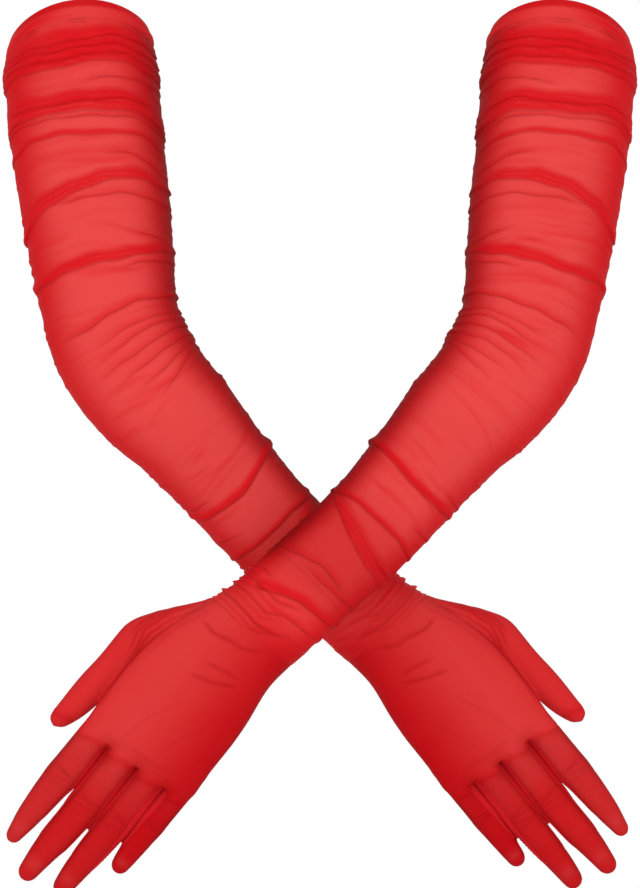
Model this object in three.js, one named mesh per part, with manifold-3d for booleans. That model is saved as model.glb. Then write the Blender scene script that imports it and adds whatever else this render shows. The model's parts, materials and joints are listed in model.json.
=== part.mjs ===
// A pair of sheer mesh opera gloves in their worn shape, sleeves crossed above the wrists.
// Millimetres. X runs across the pair, Y runs from the backs of the hands to the palms, Z is up.
// The origin lies midway between the centres of the two arm openings.
//
// Every shell is worked out in the space of the left glove and mirrored in X for the right one.
// A cross-section is measured by its angle: 0 on the thumb side, 90 on the back of the arm or
// hand, 180 on the little-finger side and 270 on the palm side.

import * as THREE from 'three';
import { mergeVertices } from 'three/addons/utils/BufferGeometryUtils.js';
import Module from 'manifold-3d';

const wasm = await Module();
wasm.setup();

// ---------------------------------------------------------------- driving dimensions

const CLOTH = 1.0;              // wall of every shell
const SEAM_GAP = 0.3;           // between two pieces that are sewn to each other
const OPENING_SPACING = 264;    // between the centres of the two arm openings

const UPPER_ARM_LENGTH = 181.9; // arm opening to elbow
const FOREARM_LENGTH = 203.8;   // elbow to wrist
const HAND_LENGTH = 102.8;      // wrist to finger roots
const HEM_HEIGHT = 16;          // doubled band at the arm opening
const HEM_SLANT = 14.6;         // degrees between the opening and a square cut
const ELBOW_REACH = 45;         // half length of the piece that bends at the elbow
const WRIST_REACH = 16;         // half length of the piece that bends at the wrist

// Headings in degrees from straight down: swing is towards the other arm, forward is away from
// the palm side.
const UPPER_ARM_SWING = 6.1;
const UPPER_ARM_FORWARD = 12.4;
const FOREARM_SWING = 44.9;
const HAND_SWING = 42.3;
const FINGER_SWING = 37.5;
const CROSSING_GAP = 8;         // free depth between the two sleeves where they cross

// Width across and depth of the sleeve at shares of the length of the upper arm or forearm.
const SLEEVE = {
  opening: { width: 85, depth: 80 },
  middleOfUpperArm: { width: 81, depth: 77 },
  elbow: { width: 74, depth: 72 },
  topOfForearm: { width: 69, depth: 63 },
  lowForearm: { width: 56, depth: 45 },
  wrist: { width: 53, depth: 40 },
};
const TOP_OF_FOREARM_SHARE = 0.3;
const LOW_FOREARM_SHARE = 0.8;

const PALM_WIDTH = 71;          // at its widest
const PALM_DEPTH = 29;
const KNUCKLE_SQUARENESS = 4;   // of the hand where the fingers leave it; 2 is an ellipse
const THUMB_BALL = 4.5;         // swelling of the hand towards the thumb
const PALM_SHARE = 0.4;         // place of the widest palm over the length of the hand

const FINGER_GAP = 1.6;         // between two neighbouring fingers at their roots
const FINGERS = [
  { name: 'index', width: 17, length: 76, strips: ['inner'] },
  { name: 'middle', width: 18, length: 88, strips: ['outer', 'inner'] },
  { name: 'ring', width: 17, length: 81, strips: ['outer', 'inner'] },
  { name: 'little', width: 14.5, length: 54.5, strips: ['outer'] },
];
const FINGER_DEPTH_SHARE = 0.85; // depth over width
const FINGER_TIP_SHARE = 0.85;  // width just before the rounded tip over width at the root
const TIP_RADIUS = 0.35;        // of the last cross-section, where the cloth closes
const STRIP_HALF_ANGLE = 24;    // degrees, half the side strip of a finger at its root
const STRIP_SHARE = 0.78;       // length of a side strip over the finger's length

const THUMB_WIDTH = 17.5;
const THUMB_START = 34;         // from the wrist to the start of the thumb's own tube
const THUMB_END = 115;          // from the wrist to its tip
const THUMB_SPREAD = 13.6;      // from the side of the palm to the axis of the thumb
const THUMB_DROP = 9;           // towards the palm side

// Steps around a whole cross-section and along a piece.
const ROUND_STEPS = 24;
const FINGER_ROUND_STEPS = 12;

const COLOURS = {
  hem: 0xd01420, back: 0xe0404a, palm: 0xd62a36, bend: 0xc81824, strip: 0xe8303c,
};
const ROUGHNESS = 0.75;

// ---------------------------------------------------------------- small helpers

const { cos, sin, tan, abs, sign, PI } = Math;
const rad = THREE.MathUtils.degToRad;
const lerp = THREE.MathUtils.lerp;
const clamp = THREE.MathUtils.clamp;

/** Unit vector down the arm, `swing` degrees to the other arm and `forward` degrees to -Y. */
function heading(swing, forward = 0) {
  const level = cos(rad(forward));
  return new THREE.Vector3(-sin(rad(swing)) * level, -sin(rad(forward)), -cos(rad(swing)) * level);
}

/** The point `distance` from `start` along `direction`. */
function along(start, direction, distance) {
  return start.clone().addScaledVector(direction, distance);
}

/** Value at `at` on straight lines between [place, value] pairs. */
function profile(pairs, at) {
  const next = clamp(pairs.findIndex(([place]) => place >= at), 1, pairs.length - 1);
  const [[a, low], [b, high]] = [pairs[next - 1], pairs[next]];
  return lerp(low, high, clamp((at - a) / (b - a), 0, 1));
}

/** Whole numbers 0 to `count` as shares of `count`. */
function shares(count) {
  return Array.from({ length: count + 1 }, (_, i) => i / count);
}

// ---------------------------------------------------------------- cross-sections

/**
 * One cross-section: its centre, the directions to the thumb side and to the back, its half
 * width and half depth, and how square it is (2 is an ellipse).
 */
function section(centre, tangent, halfWidth, halfDepth, { slant = 0, square = 2 } = {}) {
  const t = tangent.clone().normalize();
  const back = new THREE.Vector3(0, -1, 0);
  back.addScaledVector(t, -back.dot(t)).normalize();
  const thumbSide = new THREE.Vector3().crossVectors(t, back);
  const leaning = back.clone().addScaledVector(t, -tan(rad(slant)));
  return { centre, thumbSide, back: leaning, halfWidth, halfDepth, power: 2 / square, t };
}

/** Point of a cross-section at an angle, `inset` below its surface. */
function surfacePoint(s, angle, inset) {
  const c = cos(angle);
  const d = sin(angle);
  const least = TIP_RADIUS / 4;
  const across = sign(c) * abs(c) ** s.power * Math.max(s.halfWidth - inset, least);
  const deep = sign(d) * abs(d) ** s.power * Math.max(s.halfDepth - inset, least);
  const pull = Math.max(inset - s.halfWidth + least, 0);
  return s.centre.clone()
    .addScaledVector(s.thumbSide, across)
    .addScaledVector(s.back, deep)
    .addScaledVector(s.t, -pull);
}

// ---------------------------------------------------------------- shells

/** Merges a mapped geometry into one closed mesh whose faces point out. */
function closed(geometry) {
  geometry.deleteAttribute('normal');
  geometry.deleteAttribute('uv');
  const merged = mergeVertices(geometry, 1e-5);
  const p = merged.getAttribute('position');
  const index = merged.getIndex().array;
  const corner = [0, 1, 2].map(() => new THREE.Vector3());
  let volume = 0;
  for (let i = 0; i < index.length; i += 3) {
    corner.forEach((v, k) => v.fromBufferAttribute(p, index[i + k]));
    volume += corner[0].dot(corner[1].clone().cross(corner[2]));
  }
  if (volume < 0) {
    for (let i = 0; i < index.length; i += 3) {
      [index[i], index[i + 1]] = [index[i + 1], index[i]];
    }
  }
  return merged;
}

/**
 * A panel between two angles of a run of cross-sections, open along its two long edges.
 * `edges(section number)` gives the two angles in radians at that cross-section; half a seam
 * gap is taken off at each.
 */
function panel(side, sections, edges, steps) {
  const geometry = new THREE.BoxGeometry(1, 1, 1, steps, sections.length - 1, 1);
  const p = geometry.getAttribute('position');
  for (let i = 0; i < p.count; i += 1) {
    const row = Math.round((p.getY(i) + 0.5) * (sections.length - 1));
    const s = sections[row];
    const [low, high] = edges(row);
    const trim = SEAM_GAP / 2 / Math.min(s.halfWidth, s.halfDepth);
    const angle = lerp(low + trim, high - trim, p.getX(i) + 0.5);
    const point = surfacePoint(s, angle, p.getZ(i) > 0 ? 0 : CLOTH);
    p.setXYZ(i, point.x * side, point.y, point.z);
  }
  return closed(geometry);
}

/** A whole tube through a run of cross-sections, open at both ends. */
function tube(side, sections) {
  const outer = sections.map((s) => [s, 0]);
  const inner = sections.map((s) => [s, CLOTH]).reverse();
  const loop = [...outer, ...inner, outer[0]];
  const outline = loop.map(([, inset]) => new THREE.Vector2(1 + inset, 0));
  const geometry = new THREE.LatheGeometry(outline, ROUND_STEPS);
  const p = geometry.getAttribute('position');
  for (let i = 0; i < p.count; i += 1) {
    const [s, inset] = loop[i % loop.length];
    const angle = 2 * PI * Math.floor(i / loop.length) / ROUND_STEPS;
    const point = surfacePoint(s, angle, inset);
    p.setXYZ(i, point.x * side, point.y, point.z);
  }
  return closed(geometry);
}

/** The solid that a run of cross-sections fills, `grown` mm larger all round. */
function filled(side, sections, grown, steps = ROUND_STEPS) {
  const outline = [
    new THREE.Vector2(0, 0),
    ...sections.map((_, i) => new THREE.Vector2(1, i)),
    new THREE.Vector2(0, sections.length),
  ];
  const geometry = new THREE.LatheGeometry(outline, steps);
  const p = geometry.getAttribute('position');
  const last = outline.length - 1;
  for (let i = 0; i < p.count; i += 1) {
    const place = i % outline.length;
    const s = sections[clamp(place - 1, 0, sections.length - 1)];
    const angle = 2 * PI * Math.floor(i / outline.length) / steps;
    const onAxis = place === 0 || place === last;
    const point = onAxis ? s.centre.clone() : surfacePoint(s, angle, -grown);
    p.setXYZ(i, point.x * side, point.y, point.z);
  }
  return closed(geometry);
}

/** What is left of `geometry` once `tool` is cut out of it. */
function cut(geometry, tool) {
  const solid = ({ index, attributes }) => new wasm.Manifold(new wasm.Mesh({
    numProp: 3,
    vertProperties: new Float32Array(attributes.position.array),
    triVerts: new Uint32Array(index.array),
  }));
  const mesh = solid(geometry).subtract(solid(tool)).getMesh();
  const result = new THREE.BufferGeometry();
  result.setAttribute('position', new THREE.BufferAttribute(mesh.vertProperties, 3));
  result.setIndex(new THREE.BufferAttribute(mesh.triVerts, 1));
  return result;
}

/** The two angles of the back half or the palm half of a shell. */
const BACK = () => [0, PI];
const PALM = () => [PI, 2 * PI];

// ---------------------------------------------------------------- one glove

const rootsWidth = FINGERS.reduce((sum, f) => sum + f.width + FINGER_GAP, -FINGER_GAP);
const widestFinger = Math.max(...FINGERS.map((f) => f.width));
const knuckleDepth = widestFinger * FINGER_DEPTH_SHARE + CLOTH / 2;

/** Width or depth of the sleeve, `distance` down the arm from its opening. */
function girth(measure, distance) {
  const forearm = (share) => UPPER_ARM_LENGTH + share * FOREARM_LENGTH;
  return profile([
    [0, SLEEVE.opening[measure]],
    [UPPER_ARM_LENGTH / 2, SLEEVE.middleOfUpperArm[measure]],
    [UPPER_ARM_LENGTH, SLEEVE.elbow[measure]],
    [forearm(TOP_OF_FOREARM_SHARE), SLEEVE.topOfForearm[measure]],
    [forearm(LOW_FOREARM_SHARE), SLEEVE.lowForearm[measure]],
    [forearm(1), SLEEVE.wrist[measure]],
  ], distance);
}

/** Joint centres and headings of a glove; `layer` is -1 in front and 1 behind. */
function skeleton(layer) {
  const opening = new THREE.Vector3(OPENING_SPACING / 2, 0, 0);
  const upperArm = heading(UPPER_ARM_SWING, UPPER_ARM_FORWARD);
  const elbow = along(opening, upperArm, UPPER_ARM_LENGTH);
  const toCrossing = elbow.x / sin(rad(FOREARM_SWING));
  const halfApart = (girth('depth', UPPER_ARM_LENGTH + toCrossing) + CROSSING_GAP) / 2;
  const pitch = THREE.MathUtils.radToDeg(Math.atan2(halfApart, toCrossing));
  const forearm = heading(FOREARM_SWING, -layer * pitch);
  const wrist = along(elbow, forearm, FOREARM_LENGTH);
  return { opening, upperArm, elbow, forearm, wrist, hand: heading(HAND_SWING),
    fingers: heading(FINGER_SWING) };
}

/** Cross-section of the straight upper arm or forearm, `distance` from its start. */
function sleeveSection(start, direction, before, distance, slant = 0) {
  const at = before + distance;
  return section(along(start, direction, distance), direction,
    girth('width', at) / 2, girth('depth', at) / 2, { slant });
}

/** Cross-sections of the piece that bends around a joint. */
function bendSections(joint, from, to, reach, first, last, count) {
  const start = along(joint, from, -reach);
  const end = along(joint, to, reach);
  const curve = new THREE.QuadraticBezierCurve3(start, joint, end);
  return shares(count).map((u) => section(curve.getPoint(u), curve.getTangent(u),
    lerp(first.halfWidth, last.halfWidth, u), lerp(first.halfDepth, last.halfDepth, u)));
}

/** Cross-section of the hand, `distance` from the wrist. */
function handSection(bones, distance) {
  const share = distance / HAND_LENGTH;
  const halfWidth = profile([
    [0, SLEEVE.wrist.width / 2],
    [WRIST_REACH, lerp(SLEEVE.wrist.width, PALM_WIDTH, PALM_SHARE) / 2],
    [PALM_SHARE * HAND_LENGTH, PALM_WIDTH / 2],
    [HAND_LENGTH, rootsWidth / 2],
  ], distance);
  const halfDepth = profile([
    [0, SLEEVE.wrist.depth / 2],
    [PALM_SHARE * HAND_LENGTH, PALM_DEPTH / 2],
    [HAND_LENGTH, knuckleDepth / 2],
  ], distance);
  const tangent = bones.hand.clone().lerp(bones.fingers, share);
  const flat = section(along(bones.wrist, bones.hand, distance), tangent, halfWidth, halfDepth,
    { square: lerp(2, KNUCKLE_SQUARENESS, share) });
  flat.centre.addScaledVector(flat.thumbSide, THUMB_BALL * sin(PI * share));
  return flat;
}

/** Half width of a finger or thumb at a share of its length, rounded off at the tip. */
function fingerHalf(width, length, share) {
  const full = lerp(width, width * FINGER_TIP_SHARE, share) / 2;
  const fromTip = length * (1 - share);
  const round = fromTip >= full ? 1 : Math.sqrt(1 - ((full - fromTip) / full) ** 2);
  return Math.max(full * round, TIP_RADIUS);
}

/** Shares of a finger's length at which it has a cross-section, closer at the tip. */
function fingerStops(width, length) {
  const tip = width * FINGER_TIP_SHARE / 2 / length;
  return [0, 0.3, 0.6, STRIP_SHARE, 1 - tip, 1 - 0.45 * tip, 1 - 0.1 * tip, 1];
}

/** Cross-sections of a finger from its root to its tip. */
function fingerSections(root, direction, { width, length }) {
  return fingerStops(width, length).map((share) => {
    const half = fingerHalf(width, length, share);
    return section(along(root, direction, share * length), direction,
      half, half * FINGER_DEPTH_SHARE);
  });
}

/** Cross-sections of the thumb, from inside the ball of the hand to the tip. */
function thumbSections(bones) {
  const side = section(bones.wrist, bones.fingers, 1, 1).thumbSide;
  const reach = PALM_WIDTH / 2 + THUMB_SPREAD + THUMB_BALL;
  // Share of the length, share of the reach to the side and share of the drop to the palm.
  const stops = [
    [0, 0.68, 0.6], [0.2, 0.9, 0.8], [0.4, 0.99, 1], [0.7, 1, 1], [0.88, 1, 1],
    [0.955, 1, 1], [0.99, 1, 1], [1, 1, 1],
  ];
  const length = THUMB_END - THUMB_START;
  const points = stops.map(([share, out, drop]) => {
    const point = along(bones.wrist, bones.fingers, THUMB_START + share * length);
    point.addScaledVector(side, reach * out);
    point.y += THUMB_DROP * drop;
    return point;
  });
  return stops.map(([share], i) => {
    const before = points[Math.max(i - 1, 0)];
    const after = points[Math.min(i + 1, points.length - 1)];
    const half = fingerHalf(THUMB_WIDTH, length, share);
    return section(points[i], after.clone().sub(before), half, half * FINGER_DEPTH_SHARE);
  });
}

/** Adds one piece of a glove to its group. */
function add(group, name, geometry, colour) {
  const material = new THREE.MeshStandardMaterial({
    color: colour, roughness: ROUGHNESS, metalness: 0, side: THREE.DoubleSide,
  });
  const mesh = new THREE.Mesh(geometry, material);
  mesh.name = name;
  group.add(mesh);
}

/** The sleeve: hem band, upper arm, elbow piece, forearm and wrist piece. */
function addSleeve(group, name, side, bones) {
  const upper = (distance, slant) => sleeveSection(
    bones.opening, bones.upperArm, 0, distance, slant);
  const lower = (distance) => sleeveSection(
    bones.elbow, bones.forearm, UPPER_ARM_LENGTH, distance);
  const half = ROUND_STEPS / 2;

  add(group, `${name}_hem_band`,
    tube(side, [upper(0, HEM_SLANT), upper(HEM_HEIGHT, HEM_SLANT)]), COLOURS.hem);

  const top = HEM_HEIGHT + SEAM_GAP;
  const bottom = UPPER_ARM_LENGTH - ELBOW_REACH - SEAM_GAP;
  const upperArm = shares(4).map((u) => upper(lerp(top, bottom, u), HEM_SLANT * (1 - u)));
  add(group, `${name}_upper_arm_back_panel`, panel(side, upperArm, BACK, half), COLOURS.back);
  add(group, `${name}_upper_arm_under_panel`, panel(side, upperArm, PALM, half), COLOURS.palm);

  const elbow = bendSections(bones.elbow, bones.upperArm, bones.forearm, ELBOW_REACH,
    upper(UPPER_ARM_LENGTH - ELBOW_REACH), lower(ELBOW_REACH), 5);
  add(group, `${name}_elbow_section`, tube(side, elbow), COLOURS.bend);

  const forearm = shares(4).map((u) => lower(
    lerp(ELBOW_REACH + SEAM_GAP, FOREARM_LENGTH - WRIST_REACH - SEAM_GAP, u)));
  add(group, `${name}_forearm_back_panel`, panel(side, forearm, BACK, half), COLOURS.back);
  add(group, `${name}_forearm_under_panel`, panel(side, forearm, PALM, half), COLOURS.palm);

  const wrist = bendSections(bones.wrist, bones.forearm, bones.hand, WRIST_REACH,
    lower(FOREARM_LENGTH - WRIST_REACH), handSection(bones, WRIST_REACH), 2);
  wrist[wrist.length - 1] = handSection(bones, WRIST_REACH);
  add(group, `${name}_wrist_section`, tube(side, wrist), COLOURS.bend);
}

/** The hand and the thumb, each cut back to a seam gap where they meet. */
function addHandAndThumb(group, name, side, bones) {
  const half = ROUND_STEPS / 2;
  const hand = shares(5).map((u) => handSection(bones,
    lerp(WRIST_REACH + SEAM_GAP, HAND_LENGTH - SEAM_GAP, u)));
  const thumb = thumbSections(bones);
  const thumbHole = filled(side, thumb, SEAM_GAP, FINGER_ROUND_STEPS);
  const handRoom = filled(side, hand, SEAM_GAP);
  add(group, `${name}_hand_back_panel`,
    cut(panel(side, hand, BACK, half), thumbHole), COLOURS.back);
  add(group, `${name}_hand_palm_panel`,
    cut(panel(side, hand, PALM, half), thumbHole), COLOURS.palm);
  add(group, `${name}_thumb_back_panel`,
    cut(panel(side, thumb, BACK, FINGER_ROUND_STEPS / 2), handRoom), COLOURS.back);
  add(group, `${name}_thumb_palm_panel`,
    cut(panel(side, thumb, PALM, FINGER_ROUND_STEPS / 2), handRoom), COLOURS.palm);
}

/** The four fingers, each with a back panel, a palm panel and strips on its inner sides. */
function addFingers(group, name, side, bones) {
  const knuckles = handSection(bones, HAND_LENGTH);
  let edge = rootsWidth / 2;
  for (const finger of FINGERS) {
    const root = along(knuckles.centre, knuckles.thumbSide, edge - finger.width / 2);
    edge -= finger.width + FINGER_GAP;
    const sections = fingerSections(root, bones.fingers, finger);
    const stops = fingerStops(finger.width, finger.length);
    // Half angle of the strip on one side of the finger, narrowing to its end.
    const strip = (which, row) => (finger.strips.includes(which)
      ? rad(STRIP_HALF_ANGLE) * clamp(1 - stops[row] / STRIP_SHARE, 0, 1) : 0);
    const back = (row) => [strip('outer', row), PI - strip('inner', row)];
    const palm = (row) => [PI + strip('inner', row), 2 * PI - strip('outer', row)];
    const steps = FINGER_ROUND_STEPS / 2;
    add(group, `${name}_${finger.name}_back_panel`, panel(side, sections, back, steps),
      COLOURS.back);
    add(group, `${name}_${finger.name}_palm_panel`, panel(side, sections, palm, steps),
      COLOURS.palm);
    const stripRows = sections.slice(0, stops.indexOf(STRIP_SHARE));
    for (const which of finger.strips) {
      const middle = which === 'outer' ? 0 : PI;
      const stripEdges = (row) => [middle - strip(which, row), middle + strip(which, row)];
      add(group, `${name}_${finger.name}_${which}_fourchette`,
        panel(side, stripRows, stripEdges, 2), COLOURS.strip);
    }
  }
}

/** A whole glove; side is 1 for the left one and -1 for the right one. */
function glove(name, side, layer) {
  const group = new THREE.Group();
  const bones = skeleton(layer);
  addSleeve(group, name, side, bones);
  addHandAndThumb(group, name, side, bones);
  addFingers(group, name, side, bones);
  return group;
}

const pair = new THREE.Group();
pair.add(glove('left', 1, -1));
pair.add(glove('right', -1, 1));

export default pair;
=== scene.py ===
"""A pair of long red gloves in sheer mesh, worn crossed at the forearms.

Each glove is one hem band, one gathered sleeve, one gathered wrist, one hand, four fingers and a
thumb, with side strips and stitching on the fingers. Sizes inside the classes are in millimetres
and angles in degrees; a mesh is turned into metres when it is made. An angle around a sleeve is 0
on its thumb side, 90 on the back of the hand, 180 on the little finger's side, 270 on the palm.
"""

import json
import logging
import math
from contextlib import contextmanager
from dataclasses import dataclass, field
from enum import Enum
from typing import Callable, Dict, Iterator, List, Optional, Sequence, Tuple

import bmesh
import bpy
import numpy as np
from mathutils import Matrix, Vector

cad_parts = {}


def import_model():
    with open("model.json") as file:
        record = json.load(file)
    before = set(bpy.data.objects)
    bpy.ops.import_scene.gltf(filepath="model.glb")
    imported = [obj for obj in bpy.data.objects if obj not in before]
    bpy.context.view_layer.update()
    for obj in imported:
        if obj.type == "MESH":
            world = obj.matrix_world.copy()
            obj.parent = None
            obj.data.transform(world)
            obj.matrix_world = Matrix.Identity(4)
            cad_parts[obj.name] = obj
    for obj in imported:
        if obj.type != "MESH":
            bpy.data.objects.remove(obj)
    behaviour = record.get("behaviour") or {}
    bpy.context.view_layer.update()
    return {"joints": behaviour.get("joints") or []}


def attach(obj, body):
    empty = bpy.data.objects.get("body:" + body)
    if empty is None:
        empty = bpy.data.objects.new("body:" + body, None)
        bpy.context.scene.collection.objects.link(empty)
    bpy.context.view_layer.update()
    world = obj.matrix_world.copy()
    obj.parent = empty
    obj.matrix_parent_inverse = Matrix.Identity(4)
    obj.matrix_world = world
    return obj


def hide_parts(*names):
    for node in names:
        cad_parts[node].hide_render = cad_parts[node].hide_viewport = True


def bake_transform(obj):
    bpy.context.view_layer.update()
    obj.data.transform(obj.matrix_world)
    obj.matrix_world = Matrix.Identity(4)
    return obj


LOG = logging.getLogger("gloves")
MM = 0.001
WELD = 2e-6  # metres; points closer than this are one
SLAB_FACES = 400
Array = np.ndarray
Marks = Dict[str, Array]
Path = Sequence[Tuple[float, float]]


# ------------------------------------------------------------------ small helpers


def unit(vector: Array) -> Array:
    """The vector at length 1."""
    return vector / np.linalg.norm(vector)


def ease(low: float, high: float, value: Array) -> Array:
    """Smooth step of value from 0 at low to 1 at high."""
    t = np.clip((np.asarray(value, float) - low) / (high - low), 0, 1)
    return t * t * (3 - 2 * t)


def hump(distance: Array, before: float, after: float) -> Array:
    """A rounded ridge, 1 at distance 0, with its own width on each side."""
    width = np.where(distance < 0, before, after)
    return np.exp(-((distance / width) ** 2))


def front_angle(angle: Array) -> Array:
    """Angle around a tube folded to 0..180, so that front and palm side share one layout."""
    turned = np.mod(angle, 360)
    return np.where(turned > 180, 360 - turned, turned)


def many(rows: Array, row_factor: Array) -> Array:
    """Each row of a list of vectors times its own number."""
    return rows * row_factor[:, None]


def deepened(value: Array, *amounts: Array) -> Array:
    """A share from 0 to 1 after each amount has taken its part of what was left of it."""
    left = 1 - value
    for amount in amounts:
        left = left * (1 - amount)
    return 1 - left


def round_from(angle: Array, middle: float, half: float) -> Tuple[Array, Array]:
    """Turn from a middle angle, -180 to 180, and a share that falls to 0 at half each way."""
    turn = np.mod(angle - middle + 180, 360) - 180
    return turn, np.clip(1 - (turn / half) ** 2, 0, 1)


def palm_swing(angle: Array) -> Array:
    """How far a fold that is traced on the back swings about on the palm side, -1 to 1."""
    return np.where(np.mod(angle, 360) > 180, np.sin(np.radians(2 * angle)), 0)


class Side(Enum):
    """The two gloves: left lies in front where they cross, right behind."""

    LEFT = "left"
    RIGHT = "right"

    @property
    def mirror(self) -> float:
        """Factor on X from the left glove's side."""
        return 1.0 if self is Side.LEFT else -1.0


# ------------------------------------------------------------------ the course of one arm


@dataclass
class Arm:
    """Course and girth of one glove, laid out on the left glove's side of the pair.

    Args:
        side: which glove.
        elbow, wrist: joint centres in millimetres.
        hand_way, finger_way: headings of the hand and of the fingers.
        upper_length, hand_length: from opening to elbow and from wrist to knuckles.
        upper_swing, upper_forward: lean of the upper arm sideways and forwards.
        elbow_reach, wrist_reach: how far each side of its joint a bend is rounded.
        rim_slant: lean of the opening's rim.
        thumb_ball: how far the hand's axis bows to the thumb side.
        drift_places, drift: shift of the axis to the thumb side at distances down the arm.
        places, widths, depths: the sections at distances down the arm.
        girth_reach: half the length over which the sections are smoothed.
    """

    side: Side
    elbow: Array
    wrist: Array
    hand_way: Array
    finger_way: Array
    upper_length: float = 181.9
    upper_swing: float = 6.1
    upper_forward: float = 12.4
    hand_length: float = 102.8
    elbow_reach: float = 45.0
    wrist_reach: float = 16.0
    rim_slant: float = 14.6
    thumb_ball: float = 4.5
    drift_places: Sequence[float] = (-14, 20, 70, 110, 150, 168, 200, 235, 275, 300, 325, 355, 386)
    drift: Sequence[float] = (0.6, -1.6, -1.6, -0.3, 0.6, -0.6, 0.3, 1.8, -1.4, -3.2, -3.1, -1.2, 0)
    places: Sequence[float] = (-14, 2, 34, 91, 125, 160, 182, 222, 245, 270, 300, 345, 386, 402, 427,
                               489)
    widths: Sequence[float] = (63, 79, 83, 81, 77, 71.8, 73, 67.6, 62.4, 57.6, 55, 53.4, 52, 59, 68,
                               72.5)
    depths: Sequence[float] = (80, 80, 79, 77, 75, 73, 72, 66, 62, 58, 51.5, 45, 40, 35.8, 29, 16.5)
    girth_reach: float = 9.0

    def __post_init__(self) -> None:
        """Works out the headings of the straight parts and the frame of the fingers."""
        self.mirror = np.array([self.side.mirror, 1.0, 1.0])
        swing = math.radians(self.upper_swing)
        forward = math.radians(self.upper_forward)
        level = math.cos(forward)
        self.upper_way = np.array(
            [-math.sin(swing) * level, -math.sin(forward), -math.cos(swing) * level]
        )
        self.opening = self.elbow - self.upper_way * self.upper_length
        self.forearm_length = float(np.linalg.norm(self.wrist - self.elbow))
        self.forearm_way = unit(self.wrist - self.elbow)
        self.to_wrist = self.upper_length + self.forearm_length
        self.back = np.array([0.0, -1.0, 0.0])
        self.thumb_side = np.cross(self.finger_way, self.back)

    @classmethod
    def of(cls, side: Side, joints: Sequence[dict]) -> "Arm":
        """The arm of one side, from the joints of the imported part."""
        found = {joint["name"]: joint for joint in joints}
        mirror = np.array([side.mirror * 1000, 1000, 1000])

        def place(name: str) -> Array:
            return np.array(found[f"{side.value}_{name}"]["pos_m"]) * mirror

        def way(name: str) -> Array:
            axis = np.abs(found[f"{side.value}_{name}"]["axis"])
            return unit(np.array([-axis[2], 0.0, -axis[0]]))

        return cls(side, place("elbow_bend"), place("wrist_bend"), way("wrist_bend"),
                   way("middle_bend"))

    def _bend(self, joint: Array, start: Array, end: Array, reach: float,
              share: Array) -> Tuple[Array, Array]:
        """Centres and tangents on the curve round a joint."""
        first = joint - start * reach
        last = joint + end * reach
        t = share[:, None]
        centre = first * (1 - t) ** 2 + joint * 2 * t * (1 - t) + last * t ** 2
        tangent = (joint - first) * (1 - t) + (last - joint) * t
        return centre, tangent / np.linalg.norm(tangent, axis=1)[:, None]

    def course(self, down: Array) -> Tuple[Array, Array]:
        """Centres and tangents at distances down the arm from its opening."""
        down = np.asarray(down, float)
        upper = self.opening + np.outer(down, self.upper_way)
        past_elbow = down - self.upper_length
        lower = self.elbow + np.outer(past_elbow, self.forearm_way)
        past_wrist = down - self.to_wrist
        hand = self.wrist + np.outer(past_wrist, self.hand_way)
        ball = self.thumb_ball * np.sin(np.pi * np.clip(past_wrist / self.hand_length, 0, 1))
        hand = hand + np.outer(ball, self.thumb_side)
        turn = ease(0, 1, past_wrist / self.hand_length)[:, None]
        hand_tangent = self.hand_way * (1 - turn) + self.finger_way * turn
        centre = np.where((past_elbow < 0)[:, None], upper, lower)
        tangent = np.where((past_elbow < 0)[:, None], self.upper_way, self.forearm_way)
        centre = np.where((past_wrist > self.wrist_reach)[:, None], hand, centre)
        tangent = np.where((past_wrist > self.wrist_reach)[:, None], hand_tangent, tangent)
        for joint, start, end, reach, past, shift in (
            (self.elbow, self.upper_way, self.forearm_way, self.elbow_reach, past_elbow, 0.0),
            (self.wrist, self.forearm_way, self.hand_way, self.wrist_reach, past_wrist,
             np.outer(ball, self.thumb_side)),
        ):
            share = np.clip((past + reach) / 2 / reach, 0, 1)
            curve, turning = self._bend(joint, start, end, reach, share)
            inside = (np.abs(past) < reach)[:, None]
            centre = np.where(inside, curve + shift, centre)
            tangent = np.where(inside, turning, tangent)
        return centre, tangent

    def girth(self, down: Array) -> Tuple[Array, Array, Array]:
        """Half width, half depth and squareness of the cross-section at distances down."""
        reach = np.linspace(-self.girth_reach, self.girth_reach, 7)
        spread = reach[:, None] + np.asarray(down, float)[None, :]
        half_width = np.interp(spread, self.places, self.widths).mean(0) / 2
        half_depth = np.interp(spread, self.places, self.depths).mean(0) / 2
        share = np.clip((down - self.to_wrist) / self.hand_length, 0, 1)
        return half_width, half_depth, 2 + 2 * share

    def frame_at(self, down: Array) -> Tuple[Array, Array, Array, Array]:
        """Centre, tangent, direction to the thumb side and direction to the back."""
        centre, tangent = self.course(down)
        back = self.back - many(tangent, tangent @ self.back)
        back = back / np.linalg.norm(back, axis=1)[:, None]
        return centre, tangent, np.cross(tangent, back), back

    def surface(self, down: Array, angle: Array, lift: Array, slip: Array) -> Array:
        """Points on the sleeve.

        Args:
            down: distance down the arm.
            angle: angle around it in degrees.
            lift: height over the plain sleeve.
            slip: shift along the arm on top of down, as where a fold hangs over.

        Returns:
            Points in millimetres on the left glove's side.
        """
        centre, tangent, thumb_side, back = self.frame_at(down + slip)
        centre = centre + many(thumb_side, np.interp(down, self.drift_places, self.drift))
        half_width, half_depth, square = self.girth(down)
        c = np.cos(np.radians(angle))
        d = np.sin(np.radians(angle))
        past = down - self.to_wrist
        tuck = np.clip(-c, 0, 1) * (3.6 * hump(past - 27, 18, 22) + 1.2 * ease(60, 90, past))
        across = np.sign(c) * np.abs(c) ** (2 / square) * (half_width + lift) + tuck
        deep = np.sign(d) * np.abs(d) ** (2 / square) * (half_depth + lift)
        return centre + many(thumb_side, across) + many(back, deep)

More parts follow.
